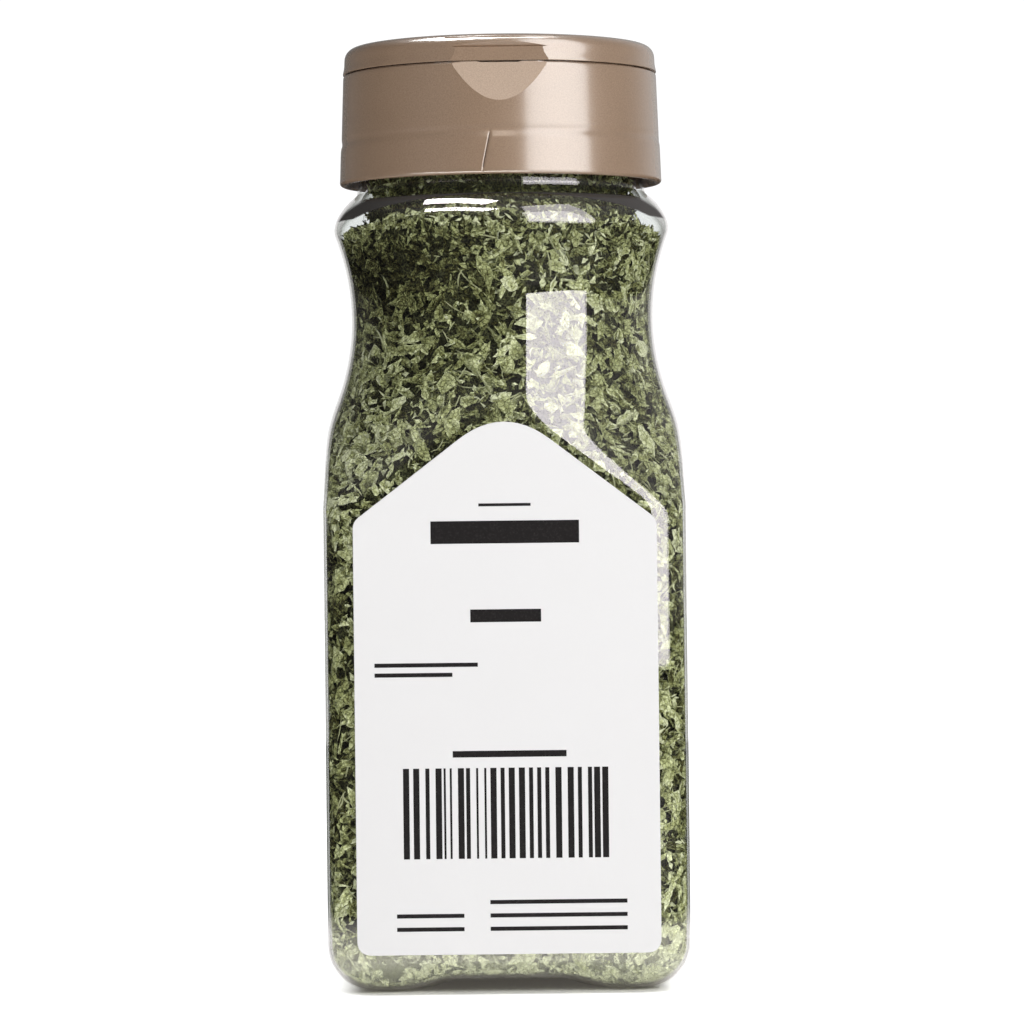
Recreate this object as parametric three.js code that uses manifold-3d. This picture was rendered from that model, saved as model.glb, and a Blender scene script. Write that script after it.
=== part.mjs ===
// Spice jar of dried parsley: a clear square jar with a round waist and a threaded neck, its fill of
// flakes, a paper label, a sealing ring, a screw cap with a sifter deck, and a flip lid hinged on it.
// Millimetres, +Z up, front towards -Y, origin on the standing plane at the middle of the base.
import * as THREE from 'three';
import { mergeVertices } from 'three/addons/utils/BufferGeometryUtils.js';
import Module from 'manifold-3d';

const wasm = await Module();
wasm.setup();

// ---- driving dimensions -------------------------------------------------------------------------

const jarHalfWidth = 31.5; // the square body, flat to flat
const jarCorner = 7; // plan radius of the body's upright corners
const jarWall = 1.1;
const creaseBlend = 1.8; // how softly a flat panel runs into the round waist

const waistHeight = 117.5;
const waistRadius = 26.9;
const flareBelow = 0.0131; // radius grows by this times the distance from the waist squared
const flareAbove = 0.0125;
const shoulderStart = 132.4; // where the flare above the waist turns into the round shoulder
const shoulderPulls = [[30.3, 134], [29.2, 137]]; // curve handles of the shoulder, [radius, height]
const wallLevels = [80, 84.5, 88, 91.5, 95, 98.5, 102.5, 107.5, 112.5, 117.5, 123, 128];
const cavityLevels = [128, 121, 114, 106, 99, 93, 87, 81];

const neckRadius = 25.3; // between the threads
const neckFootRadius = 25.7; // the plain band between shoulder and cap
const neckBore = 23.8;
const neckFoot = 139.8;
const neckTop = 158.15;
const neckFillet = 0.35; // between the shoulder and the plain band
const neckBand = 0.5; // height of the plain band over the neck's foot
const neckStep = 2.4; // height over the foot where the band has drawn in to the neck
const boreFoot = 0.6; // height over the foot where the bore opens into the shoulder
const rimChamfer = 0.3;

const heelRadius = 8; // rounding from the walls into the base
const footWidth = 3.5; // flat band that the jar stands on at its four corners
const archHeight = 1.8; // how far the base lifts between the feet
const archFlat = 20; // degrees either side of a wall's middle where the arch is full
const archEnd = 39; // degrees where it has come down to the foot
const pushUp = 3.6; // hollow of the base at its middle
const pushUpRing = { inset: 23, height: 3.2, arch: 0 }; // the hollow near its middle
const instepRing = { inset: 16, height: 1.5, arch: 0.3 }; // and just inside the feet
const floorRing = { inset: 17, height: 3.1, arch: 0.3 }; // the floor inside the jar
const leastCorner = 3; // smallest plan radius of the base's rings
const cornerTightening = 0.5; // plan radius lost for each millimetre in, within the heel
const cornerOpening = 0.7; // and gained for each millimetre further in
const floorThickness = 1.2;

const threadPitch = 4.233; // six turns to the inch
const threadTurns = 1.1;
const threadCrest = 26.3; // neck thread
const threadRootHalf = 0.85;
const threadCrestHalf = 0.45;
const neckThreadStart = 147.4;
const capThreadCrest = 25.75;
const threadSink = 0.35; // how far a ridge is rooted in its wall
const threadEndSink = 0.2; // how far its crest is below the wall at the ends
const threadStepsPerTurn = 40;
const threadFade = 4; // steps over which a ridge rises from its wall

const fillGap = 0.4; // from the jar's inner wall to the flakes pressed against it
const fillEase = 0.25; // how much further in the other flakes stay
const fillTop = 151.5;
const fillShoulder = 135.8; // where the rows of the body end
const fillShoulderRadius = 28;
const fillNeck = [
  [25, 138.8],
  [22.9, 142.3],
  [22.9, 145.8],
  [22.7, 149],
  [20.5, 150.5],
  [14, 151.1],
  [7, fillTop],
]; // the heap in the neck, [radius, height]
const flakeRelief = 1.5; // deepest dip between flakes
const flakePitch = 4.4; // height of one row of flakes
const fillFloor = 1.9; // above the jar's underside
const fillFootLift = 0.2; // how much higher its heel lies

const labelHalfWidth = 26.2;
const labelBottom = 6.7;
const labelShoulder = 81.4; // where the sloped edges start
const labelSlope = 37.4; // degrees from level
const labelThickness = 0.35;
const labelCorner = 2.6;
const labelPeakRadius = 13;

const closureBase = 141.1; // height of the skirt's lower edge
const skirtHeight = 19.8; // up to the parting line
const skirtFootRadius = 28.65;
const skirtTopRadius = 27.95;
const skirtBore = 26.9;
const deckThickness = 1.25;
const deckFillet = [[25.6, 0], [26.1, -1], [26.7, -2.7]]; // deck to skirt inside, [radius, height]
const skirtLeadIn = [[26.9, 1.6], [27.4, 0.3], [27.7, 0]]; // bore widening at the lower edge
const skirtFootRound = [0.35, 0.45]; // rounding of the lower edge, [inward, upward]
const rimRound = 0.25; // small roundings of the closure's upper edges
const bossOuter = 24.8; // raised ring that the lid fits over
const bossInner = 23.8;
const bossHeight = 1.5;
const sifterHoles = 6; // round the middle one
const sifterCircle = 10.5;
const sifterRadius = 2.5;
const sifterSides = 12;

const lidGap = 0.3; // seam between cap and lid
const lidHeight = 4.8;
const lidRadius = 27.75;
const lidLipRadius = 28.05;
const lidSkin = 1.2;
const lidLipRound = [0.35, 0.8]; // heights where the lower lip starts and ends drawing in
const lidTopRound = [[0.05, 1.1], [0.35, 0.4], [1.2, 0]]; // upper edge, [inward, below the top]
const lidUnderRound = [[25.4, 0], [lidRadius - lidSkin, -0.8]]; // inside, [radius, height]
const plugOuter = 16.4; // ring under the lid, round the sifter holes
const plugInner = 15.4;
const plugFoot = 0.2; // height of the plug ring's lower edge
const backingInset = [0.5, 0.6]; // backing behind the lid's flats, inside its [side, top]

const thumbHalfWidth = 8.3; // flat at the front of the lid
const thumbDepth = 1.3;
const thumbRise = 2.5; // height of the flat, above which the lid overhangs
const thumbOverhang = [2.2, 1.6]; // slope above the flat, [outward, upward]
const thumbBacking = 1.1; // wall left behind the flat
const scoopDrop = 6.7; // how far down the skirt the thumb scoop runs
const hingeFlat = 26.9; // flat at the back, where cap and lid are joined
const hingeHalfWidth = 7.5;
const hingePad = 0.6;
const hingePadHeight = 2.6;
const hingePadRoot = 0.2; // how far a pad is sunk in its wall
const hingeCutMargin = 2; // how far the flat runs past the pad on each side
const hingeCutHeight = 4; // and how far down the skirt
const cutReach = 10; // how far a cut runs past the part

const linerOuter = 25.2;
const linerInner = 22.6;
const linerThickness = 0.9;
const seatGap = 0.3; // between parts that touch

const roundSegments = 48;
// directions within one eighth of a turn, closer together at the square body's corners
const octant = [0, 12, 24, 33, 39, 42.5];

// ---- small helpers ------------------------------------------------------------------------------

const radians = THREE.MathUtils.degToRad;
const { clamp, lerp, smoothstep } = THREE.MathUtils;

function directions() {
  const quarter = [...octant, 45, ...octant.slice(1).reverse().map((angle) => 90 - angle)];
  return [0, 90, 180, 270].flatMap((turn) => quarter.map((angle) => radians(angle + turn)));
}

/** A smaller of two lengths that rounds off where they cross. */
function softMin(a, b, blend) {
  const share = clamp(0.5 + (0.5 * (b - a)) / blend, 0, 1);
  return lerp(b, a, share) - blend * share * (1 - share);
}

/** A repeatable number from 0 to 1 for a place in a grid. */
function scatter(row, column) {
  const value = Math.sin(row * 127.1 + column * 311.7 + 74.7) * 43758.5453;
  return value - Math.floor(value);
}

function apart(one, other) {
  return Math.hypot(...one.map((value, axis) => value - other[axis]));
}

/** A closed skin over rings of points, each ring once round, from one pole to the other. */
function skin(rings, bottomPole, topPole) {
  const count = rings[0].length;
  const points = [bottomPole, ...rings.flat(), topPole];
  const at = (ring, step) => 1 + ring * count + (step % count);
  const faces = [];
  for (let step = 0; step < count; step += 1) {
    faces.push(0, at(0, step + 1), at(0, step));
    for (let ring = 0; ring + 1 < rings.length; ring += 1) {
      const [a, b] = [at(ring, step), at(ring, step + 1)];
      const [c, d] = [at(ring + 1, step + 1), at(ring + 1, step)];
      if (apart(points[a], points[c]) < apart(points[b], points[d])) faces.push(a, b, c, a, c, d);
      else faces.push(a, b, d, b, c, d);
    }
    faces.push(at(rings.length - 1, step), at(rings.length - 1, step + 1), points.length - 1);
  }
  const geometry = new THREE.BufferGeometry();
  geometry.setAttribute('position', new THREE.Float32BufferAttribute(points.flat(), 3));
  geometry.setIndex(faces);
  return geometry;
}

/** A turned solid round Z from [radius, height] points that start and end on the axis or close up. */
function turned(profile, segments = roundSegments) {
  const outline = profile.map(([radius, height]) => new THREE.Vector2(radius, height));
  return new THREE.LatheGeometry(outline, segments).rotateX(Math.PI / 2);
}

function block(width, depth, height, x, y, z) {
  return new THREE.BoxGeometry(width, depth, height).translate(x, y, z);
}

/** A prism along X from [y, z] points. */
function crossPrism(outline, halfWidth) {
  const shape = new THREE.Shape(outline.map(([y, z]) => new THREE.Vector2(y, z)));
  const geometry = new THREE.ExtrudeGeometry(shape, { depth: 2 * halfWidth, bevelEnabled: false });
  const turn = new THREE.Matrix4().set(0, 0, 1, -halfWidth, 1, 0, 0, 0, 0, 1, 0, 0, 0, 0, 0, 1);
  return geometry.applyMatrix4(turn);
}

/** A three.js geometry as a solid that can be joined and cut. */
function solid(source) {
  const geometry = source.clone();
  geometry.deleteAttribute('normal');
  geometry.deleteAttribute('uv');
  const merged = mergeVertices(geometry, 1e-4);
  const index = [...merged.index.array];
  const kept = [];
  for (let at = 0; at < index.length; at += 3) {
    const [a, b, c] = index.slice(at, at + 3);
    if (a !== b && b !== c && c !== a) kept.push(a, b, c);
  }
  const mesh = new wasm.Mesh({
    numProp: 3,
    vertProperties: new Float32Array(merged.attributes.position.array),
    triVerts: new Uint32Array(kept),
  });
  return new wasm.Manifold(mesh);
}

/** The three.js geometry of a solid. */
function geometryOf(body) {
  const mesh = body.getMesh();
  const geometry = new THREE.BufferGeometry();
  geometry.setAttribute('position', new THREE.Float32BufferAttribute(mesh.vertProperties, 3));
  geometry.setIndex([...mesh.triVerts]);
  return geometry;
}

function piece(name, geometry, look) {
  const mesh = new THREE.Mesh(geometry, new THREE.MeshStandardMaterial(look));
  mesh.name = name;
  return mesh;
}

// ---- the jar's shape ----------------------------------------------------------------------------

/** Distance from the axis to a rounded square, in one direction. */
function squareRadius(angle, halfWidth, corner) {
  const [across, along] = [Math.abs(Math.cos(angle)), Math.abs(Math.sin(angle))];
  const long = Math.max(across, along);
  const short = Math.min(across, along);
  const centre = halfWidth - corner;
  if (short / long <= centre / halfWidth) return halfWidth / long;
  const aside = centre * (long - short);
  return centre * (long + short) + Math.sqrt(corner ** 2 - aside ** 2);
}

/** Radius of the round body that the square one is cut from. */
function roundRadius(height) {
  const flare = height < waistHeight ? flareBelow : flareAbove;
  return waistRadius + flare * (height - waistHeight) ** 2;
}

/** One level ring of the wall, inset from the outside by a wall thickness. */
function wallRing(height, inset) {
  return directions().map((angle) => {
    const flat = squareRadius(angle, jarHalfWidth - inset, jarCorner - inset);
    const radius = softMin(flat, roundRadius(height) - inset, creaseBlend);
    return [radius * Math.cos(angle), radius * Math.sin(angle), height];
  });
}

function roundRing(radius, height) {
  return directions().map((angle) => [radius * Math.cos(angle), radius * Math.sin(angle), height]);
}

/** How far the base is lifted in one direction: nothing at the corners, most mid-wall. */
function archAt(angle) {
  const quarter = Math.PI / 2;
  const fromWall = Math.abs(angle - quarter * Math.round(angle / quarter));
  return archHeight * (1 - smoothstep(fromWall, radians(archFlat), radians(archEnd)));
}

/** A ring of the base: how far in from the walls, how high, and what share of the arch it takes. */
function baseRing(inset, height, share, extraInset = 0) {
  const halfWidth = jarHalfWidth - inset - extraInset;
  const past = Math.max(0, inset - heelRadius);
  const tightened = Math.max(jarCorner - cornerTightening * inset - extraInset, leastCorner);
  const corner = Math.min(tightened + cornerOpening * past, halfWidth);
  return directions().map((angle) => {
    const radius = squareRadius(angle, halfWidth, corner);
    return [radius * Math.cos(angle), radius * Math.sin(angle), height + share * archAt(angle)];
  });
}

/** The rounded heel, from the foot up to the walls. */
function heelRings(turns, wall) {
  const arc = heelRadius - wall;
  return turns.map((turn) => {
    const inset = arc * (1 - Math.sin(radians(turn)));
    const height = wall + arc * (1 - Math.cos(radians(turn)));
    return baseRing(inset, height, Math.cos(radians(turn)) ** 2, wall);
  });
}

/** The shoulder's outline, from the flare above the waist to the neck, as [radius, height]. */
function shoulderAt(share) {
  const curve = new THREE.CubicBezierCurve(
    new THREE.Vector2(roundRadius(shoulderStart), shoulderStart),
    ...shoulderPulls.map((pull) => new THREE.Vector2(...pull)),
    new THREE.Vector2(neckFootRadius + neckFillet, neckFoot - neckFillet),
  );
  return curve.getPoint(share);
}

function shoulderRings(shares, inset) {
  return shares.map((share) => {
    const { x: radius, y: height } = shoulderAt(share);
    return roundRing(radius - inset * (1 - 0.3 * share), height - inset * share);
  });
}

/** A turned ridge that climbs round Z: outward on a neck when rise is above 0, inward in a cap. */
function threadRidge(wallRadius, crestRadius, start, turns) {
  const steps = Math.round(turns * threadStepsPerTurn);
  const rise = Math.sign(crestRadius - wallRadius);
  const points = [];
  for (let step = 0; step <= steps; step += 1) {
    const angle = (2 * Math.PI * step) / threadStepsPerTurn;
    const middle = start + (threadPitch * step) / threadStepsPerTurn;
    const fade = Math.min(1, Math.min(step, steps - step) / threadFade);
    const root = wallRadius - rise * threadSink;
    const crest = lerp(wallRadius - rise * threadEndSink, crestRadius, fade);
    const corners = [
      [root, -threadRootHalf],
      [crest, -threadCrestHalf],
      [crest, threadCrestHalf],
      [root, threadRootHalf],
    ];
    for (const [radius, offset] of corners) {
      points.push(radius * Math.cos(angle), radius * Math.sin(angle), middle + offset);
    }
  }
  const faces = [0, 1, 2, 0, 2, 3];
  for (let step = 0; step < steps; step += 1) {
    for (let side = 0; side < 4; side += 1) {
      const [a, b] = [4 * step + side, 4 * step + ((side + 1) % 4)];
      faces.push(a, a + 4, b, b, a + 4, b + 4);
    }
  }
  const end = 4 * steps;
  faces.push(end, end + 2, end + 1, end, end + 3, end + 2);
  const geometry = new THREE.BufferGeometry();
  geometry.setAttribute('position', new THREE.Float32BufferAttribute(points, 3));
  geometry.setIndex(rise > 0 ? faces : faces.reverse());
  return geometry;
}

// ---- the pieces ---------------------------------------------------------------------------------

/** The hollow of the jar from the neck's foot down to the floor, drawn in further by a gap. */
function cavityRings(gap) {
  const inset = jarWall + gap;
  const lifted = (ring) => ring.map(([x, y, z]) => [x, y, z + gap]);
  return [
    ...shoulderRings([0.85, 0.5, 0.15], inset),
    ...cavityLevels.map((height) => wallRing(height, inset)),
    ...heelRings([90, 62, 32, 0], jarWall + gap),
    lifted(baseRing(floorRing.inset, floorRing.height, floorRing.arch)),
  ];
}

function jar() {
  const rings = [
    ...[pushUpRing, instepRing].map(({ inset, height, arch }) => baseRing(inset, height, arch)),
    baseRing(heelRadius + footWidth, 0, 1),
    ...heelRings([0, 28, 50, 70, 90], 0),
    ...wallLevels.map((height) => wallRing(height, 0)),
    ...shoulderRings([0, 0.3, 0.55, 0.78, 1], 0),
    roundRing(neckFootRadius, neckFoot + neckBand),
    roundRing(neckRadius, neckFoot + neckStep),
    roundRing(neckRadius, neckTop - rimChamfer),
    roundRing(neckRadius - rimChamfer, neckTop),
    roundRing(neckBore + rimChamfer, neckTop),
    roundRing(neckBore, neckTop - rimChamfer),
    roundRing(neckBore, neckFoot + boreFoot),
    ...cavityRings(0),
  ];
  const bottom = [0, 0, pushUp];
  const floor = [0, 0, pushUp + floorThickness];
  const thread = threadRidge(neckRadius, threadCrest, neckThreadStart, threadTurns);
  return geometryOf(solid(skin(rings, bottom, floor)).add(solid(thread)));
}

/** Flakes pressed against the wall: every point of the skin stands out or dips by its own amount. */
function parsleyFill() {
  const inset = jarWall + fillGap + fillEase;
  const dip = (row, column) => flakeRelief * scatter(row, column) ** 1.3;
  const rows = Math.round((fillShoulder - heelRadius) / flakePitch);
  const pulled = (ring, row) =>
    ring.map(([x, y, z], column) => {
      const share = 1 - dip(row, column) / Math.hypot(x, y);
      const lift = 0.5 * flakePitch * (scatter(row + 90, column) - 0.5);
      return [x * share, y * share, z + (row > 1 ? lift : 0)];
    });
  const rings = [
    baseRing(floorRing.inset, floorRing.height + fillEase + flakeRelief / 2, floorRing.arch),
    ...heelRings([0, 32, 62], inset).map((ring, row) =>
      pulled(ring.map(([x, y, z]) => [x, y, z + fillFootLift]), row - 1),
    ),
  ];
  for (let row = 0; row <= rows; row += 1) {
    const height = lerp(heelRadius, fillShoulder, row / rows);
    const square = height < shoulderStart;
    const ring = square ? wallRing(height, inset) : roundRing(fillShoulderRadius, height);
    rings.push(pulled(ring, row + 3));
  }
  fillNeck.forEach(([radius, height], row) => {
    rings.push(pulled(roundRing(radius, height), rows + 4 + row));
  });
  const flakes = skin(rings, [0, 0, pushUp + fillFloor], [0, 0, fillTop]);
  const room = [
    roundRing(neckBore - fillGap, neckTop),
    roundRing(neckBore - fillGap, neckFoot + boreFoot),
    ...cavityRings(fillGap),
  ];
  const cavity = skin(room.reverse(), [0, 0, pushUp + floorThickness + fillGap], [0, 0, neckTop]);
  return geometryOf(solid(flakes).intersect(solid(cavity)));
}

function label() {
  const slope = radians(labelSlope);
  const peak = labelShoulder + labelHalfWidth * Math.tan(slope);
  const outline = [
    { at: [-labelHalfWidth, labelBottom], round: labelCorner },
    { at: [labelHalfWidth, labelBottom], round: labelCorner },
    { at: [labelHalfWidth, labelShoulder], round: labelCorner },
    { at: [0, peak], round: labelPeakRadius },
    { at: [-labelHalfWidth, labelShoulder], round: labelCorner },
  ];
  const shape = new THREE.Shape();
  outline.forEach(({ at, round }, index) => {
    const corner = new THREE.Vector2(...at);
    const before = new THREE.Vector2(...outline.at(index - 1).at).sub(corner).normalize();
    const after = new THREE.Vector2(...outline[(index + 1) % outline.length].at).sub(corner);
    after.normalize();
    const reach = round / Math.tan(before.angleTo(after) / 2);
    const from = corner.clone().addScaledVector(before, reach);
    const to = corner.clone().addScaledVector(after, reach);
    if (index) shape.lineTo(from.x, from.y);
    else shape.moveTo(from.x, from.y);
    shape.quadraticCurveTo(corner.x, corner.y, to.x, to.y);
  });
  shape.closePath();
  const options = { depth: labelThickness, bevelEnabled: false, curveSegments: 6 };
  const back = -(jarHalfWidth + seatGap);
  return new THREE.ExtrudeGeometry(shape, options).rotateX(Math.PI / 2).translate(0, back, 0);
}

/** A ring of foam between the neck's rim and the deck. */
function sealingRing() {
  const profile = [
    [linerInner, 0],
    [linerOuter, 0],
    [linerOuter, linerThickness],
    [linerInner, linerThickness],
    [linerInner, 0],
  ];
  return turned(profile);
}

/** The skirt, deck and boss, with its own height 0 at the skirt's lower edge. */
function capBlank() {
  const deck = skirtHeight - deckThickness;
  const [footInward, footUpward] = skirtFootRound;
  return turned([
    [0, deck],
    ...deckFillet.map(([radius, rise]) => [radius, deck + rise]),
    ...skirtLeadIn,
    [skirtFootRadius - footInward, 0],
    [skirtFootRadius, footUpward],
    [skirtTopRadius, skirtHeight - rimRound],
    [skirtTopRadius - rimRound, skirtHeight],
    [bossOuter, skirtHeight],
    [bossOuter, skirtHeight + bossHeight - rimRound],
    [bossOuter - rimRound, skirtHeight + bossHeight],
    [bossInner, skirtHeight + bossHeight],
    [bossInner, skirtHeight],
    [0, skirtHeight],
  ]);
}

/** A sloped cut that leaves the skirt's front thinner towards the parting line. */
function thumbScoop() {
  const face = skirtTopRadius - thumbDepth;
  const taper = (skirtFootRadius - skirtTopRadius) / skirtHeight;
  const slope = thumbDepth / scoopDrop + taper;
  return crossPrism(
    [
      [-(face - slope), skirtHeight + 1],
      [-(face + slope * cutReach), skirtHeight - cutReach],
      [-(face + cutReach), skirtHeight - cutReach],
      [-(face + cutReach), skirtHeight + 1],
    ],
    2 * thumbHalfWidth,
  );
}

function sifterPlaces() {
  const places = [[0, 0]];
  for (let hole = 0; hole < sifterHoles; hole += 1) {
    const angle = (2 * Math.PI * hole) / sifterHoles;
    places.push([sifterCircle * Math.cos(angle), sifterCircle * Math.sin(angle)]);
  }
  return places;
}

/** Takes the hinge's flat off the back of a turned piece. */
function hingeCut() {
  const width = 2 * (hingeHalfWidth + hingeCutMargin);
  return solid(block(width, cutReach, 2 * hingeCutHeight, 0, hingeFlat + cutReach / 2, 0));
}

/** The pad that the hinge's strap is moulded on to, from its lower edge up. */
function hingeBlock(foot) {
  const depth = hingePad + hingePadRoot;
  const back = hingeFlat - hingePadRoot + depth / 2;
  const middle = foot + hingePadHeight / 2;
  return solid(block(2 * hingeHalfWidth, depth, hingePadHeight, 0, back, middle));
}

function cap() {
  const threadStart = neckThreadStart - threadPitch / 2 - closureBase;
  let body = solid(capBlank())
    .add(solid(threadRidge(skirtBore, capThreadCrest, threadStart, threadTurns)))
    .subtract(solid(thumbScoop()))
    .subtract(hingeCut().translate([0, 0, skirtHeight]));
  for (const [x, y] of sifterPlaces()) {
    const height = 4 * deckThickness;
    const drill = new THREE.CylinderGeometry(sifterRadius, sifterRadius, height, sifterSides);
    body = body.subtract(solid(drill.rotateX(Math.PI / 2).translate(x, y, skirtHeight)));
  }
  return geometryOf(body.add(hingeBlock(skirtHeight - hingePadHeight - seatGap / 2)));
}

/** The lid's shell and plug ring, with its own height 0 at its lower edge. */
function lidBlank() {
  const inside = lidHeight - lidSkin;
  const [lipStart, lipEnd] = lidLipRound;
  return turned([
    [0, inside],
    [plugInner, inside],
    [plugInner, plugFoot],
    [plugOuter, plugFoot],
    [plugOuter, inside],
    ...lidUnderRound.map(([radius, rise]) => [radius, inside + rise]),
    [lidRadius - lidSkin, 0],
    [lidLipRadius, 0],
    [lidLipRadius, lipStart],
    [lidRadius, lipEnd],
    ...lidTopRound.map(([inward, below]) => [lidRadius - inward, lidHeight - below]),
    [0, lidHeight],
  ]);
}

/** What is taken off the lid's front: an upright flat with a sloped overhang above it. */
function thumbFlat() {
  const face = skirtTopRadius - thumbDepth;
  const [outward, upward] = thumbOverhang;
  return crossPrism(
    [
      [-face, -1],
      [-face, thumbRise],
      [-(face + outward), thumbRise + upward],
      [-(face + cutReach), thumbRise + upward],
      [-(face + cutReach), -1],
    ],
    2 * thumbHalfWidth,
  );
}

/** Material that keeps the lid's wall whole behind its flats. */
function lidBacking() {
  const [side, top] = backingInset;
  const radius = lidRadius - side;
  const height = lidHeight - top;
  const round = turned([[0, 0], [radius, 0], [radius, height], [0, height]]);
  const backing = (face) => solid(block(2 * radius, cutReach, height, 0, face, height / 2));
  const thumbBack = skirtTopRadius - thumbDepth - thumbBacking;
  const hingeBack = hingeFlat - lidSkin;
  return backing(-(thumbBack + cutReach / 2))
    .add(backing(hingeBack + cutReach / 2))
    .intersect(solid(round));
}

function lid() {
  const body = solid(lidBlank())
    .add(lidBacking())
    .subtract(solid(thumbFlat()))
    .subtract(hingeCut())
    .add(hingeBlock(0));
  return geometryOf(body);
}

// ---- the assembly -------------------------------------------------------------------------------

const clearPlastic = { color: 0xe4e8e6, roughness: 0.05, transparent: true, opacity: 0.35 };
const bronzePlastic = { color: 0xa58a70, roughness: 0.38, metalness: 0.55 };

const spiceJar = new THREE.Group();
spiceJar.add(piece('jar', jar(), clearPlastic));
spiceJar.add(piece('parsley_fill', parsleyFill(), { color: 0x6e7850, roughness: 0.9 }));
spiceJar.add(piece('label', label(), { color: 0xf4f3f1, roughness: 0.55 }));

const closure = new THREE.Group();
closure.position.z = closureBase;
closure.add(piece('cap', cap(), bronzePlastic));

const seal = piece('sealing_ring', sealingRing(), { color: 0xeeeeea, roughness: 0.8 });
seal.position.z = skirtHeight - deckThickness - seatGap - linerThickness;
closure.add(seal);

const flipLid = piece('lid', lid(), bronzePlastic);
flipLid.position.z = skirtHeight + lidGap;
closure.add(flipLid);
spiceJar.add(closure);

export default spiceJar;
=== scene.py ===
"""Spice jar of dried parsley: clear jar, pressed flakes, paper label, screw cap and flip lid."""

import math

import bpy
import numpy as np
from mathutils import Euler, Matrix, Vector
from mathutils.bvhtree import BVHTree


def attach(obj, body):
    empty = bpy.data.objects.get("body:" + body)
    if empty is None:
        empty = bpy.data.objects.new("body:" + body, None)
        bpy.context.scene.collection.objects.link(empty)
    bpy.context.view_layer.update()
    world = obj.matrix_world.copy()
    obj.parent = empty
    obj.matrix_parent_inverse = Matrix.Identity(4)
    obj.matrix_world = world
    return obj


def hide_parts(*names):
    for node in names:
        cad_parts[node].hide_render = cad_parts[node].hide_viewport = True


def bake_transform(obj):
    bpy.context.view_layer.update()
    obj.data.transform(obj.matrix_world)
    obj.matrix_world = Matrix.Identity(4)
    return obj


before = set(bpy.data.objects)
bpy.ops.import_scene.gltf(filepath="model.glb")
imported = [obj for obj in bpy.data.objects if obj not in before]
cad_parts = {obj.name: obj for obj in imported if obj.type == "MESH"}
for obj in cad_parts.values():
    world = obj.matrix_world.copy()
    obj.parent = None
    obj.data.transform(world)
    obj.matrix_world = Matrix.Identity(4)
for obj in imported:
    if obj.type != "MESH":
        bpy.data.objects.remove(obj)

bl_info = {
    "name": "Spice jar of dried parsley",
    "version": (1, 0, 0),
    "blender": (4, 5, 0),
    "location": "3D View > Sidebar > Spice jar",
    "description": "Builds a clear spice jar filled with dried parsley flakes around its frame",
    "category": "Object",
}

MM = 0.001

# ---- sizes of the jar and its closure, in millimetres ---------------------------------------------

JAR_HALF_WIDTH = 31.5
JAR_CORNER = 7.0
JAR_WALL = 0.45
SHOULDER_EXTRA = 0.8  # how much thicker the wall is where the shoulder meets the neck
CREASE_BLEND = 1.8
WAIST_HEIGHT = 117.5
WAIST_RADIUS = 26.9
FLARE_BELOW = 0.0131
FLARE_ABOVE = 0.0125
SHOULDER_START = 132.4
SHOULDER_PULLS = ((30.3, 134.0), (29.2, 137.0))
NECK_RADIUS = 25.3
NECK_FOOT_RADIUS = 25.7
NECK_FILLET = 0.35
NECK_BORE = 24.2
NECK_FOOT = 139.8
NECK_TOP = 158.15
RIM_ROUND = 0.5
HEEL_RADIUS = 8.0
FOOT_WIDTH = 3.5
ARCH_HEIGHT = 1.8
ARCH_FLAT = 20.0
ARCH_END = 39.0
PUSH_UP = 3.6
FLOOR_THICKNESS = 0.8
FLOOR_TOP = PUSH_UP + FLOOR_THICKNESS
CAVITY_TOP = 151.0
JAR_MIDDLE = (0.0, 0.0, 70.0)
SQUARE_TOP = 80.0  # the walls are plain and upright between the heel and this height

THREAD_PITCH = 4.233
THREAD_TURNS = 1.1
THREAD_STEPS = 72  # in one turn
THREAD_FADE_STEPS = 8
THREAD_CREST = 26.3
NECK_THREAD_START = 147.4
CAP_THREAD_CREST = 25.75
THREAD_ROOT_HALF = 0.85
THREAD_CREST_HALF = 0.45

FILL_TOP = 150.6
VOID_START = 137.5  # above this height the flakes fall short of the shoulder at the front
VOID_DROP = (6.0, 6.4)  # and how much lower that is at the left and the right
VOID_POWER = (2.4, 3.2)  # how late that starts on the way round to the left and the right
VOID_SLOPE = (3.5, 6.0)  # how fast the gap grows with height at the left and the right
VOID_DEPTH = 4.0
COLUMN_RADIUS = 23.6  # the flakes never fall short of the column under the neck
CORE_STEPS = 168
CORE_GAP = 1.5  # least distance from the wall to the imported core
CORE_LUMPS = 0.9
CORE_TOP = FILL_TOP - 1.0
STALKS = 800
STALKS_TOP = 132.0
RIM_POINTS = 10  # points round a flake's edge
WEB_POINTS = 5  # and round its middle
SIDE_POINTS = RIM_POINTS + 1 + WEB_POINTS  # of its edge and one of its sides
FLAKE_POINTS = SIDE_POINTS + 1 + WEB_POINTS
FLAKE_HALF_THICKNESS = 0.06
FLAKE_NEAREST = 0.15  # least distance from the wall to a flake's middle
FLAKE_LAYER = 2.0  # depth of the layer of flakes behind that
FLAKE_TILT = 28.0  # degrees that flakes usually lean from the wall
WILD_SHARE = 0.35  # share of the flakes that lean at any angle
WILD_TILT = 1.3  # radians
FLAKE_CREASE = 22.0  # degrees between a flake's faces that show as a crease
USUAL_TONE = 0.62  # of leaf, from 0 for the darkest to 1 for the palest
PAINTED_SHADE_CORNER = (125.0, 9.5)  # height and spread of the corner of painted shade at the top left

LABEL_HALF_WIDTH = 26.2
LABEL_BOTTOM = 6.7
LABEL_SHOULDER = 81.4
LABEL_SLOPE = 37.4
LABEL_CORNER = 2.6
LABEL_PEAK_RADIUS = 13.0
LABEL_GAP = 0.03
LABEL_EDGE = 0.12  # how far its front edge is drawn in
INK_THICKNESS = 0.03
INK_RISE = 0.005  # how far in front of the label's face its middle is

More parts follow.
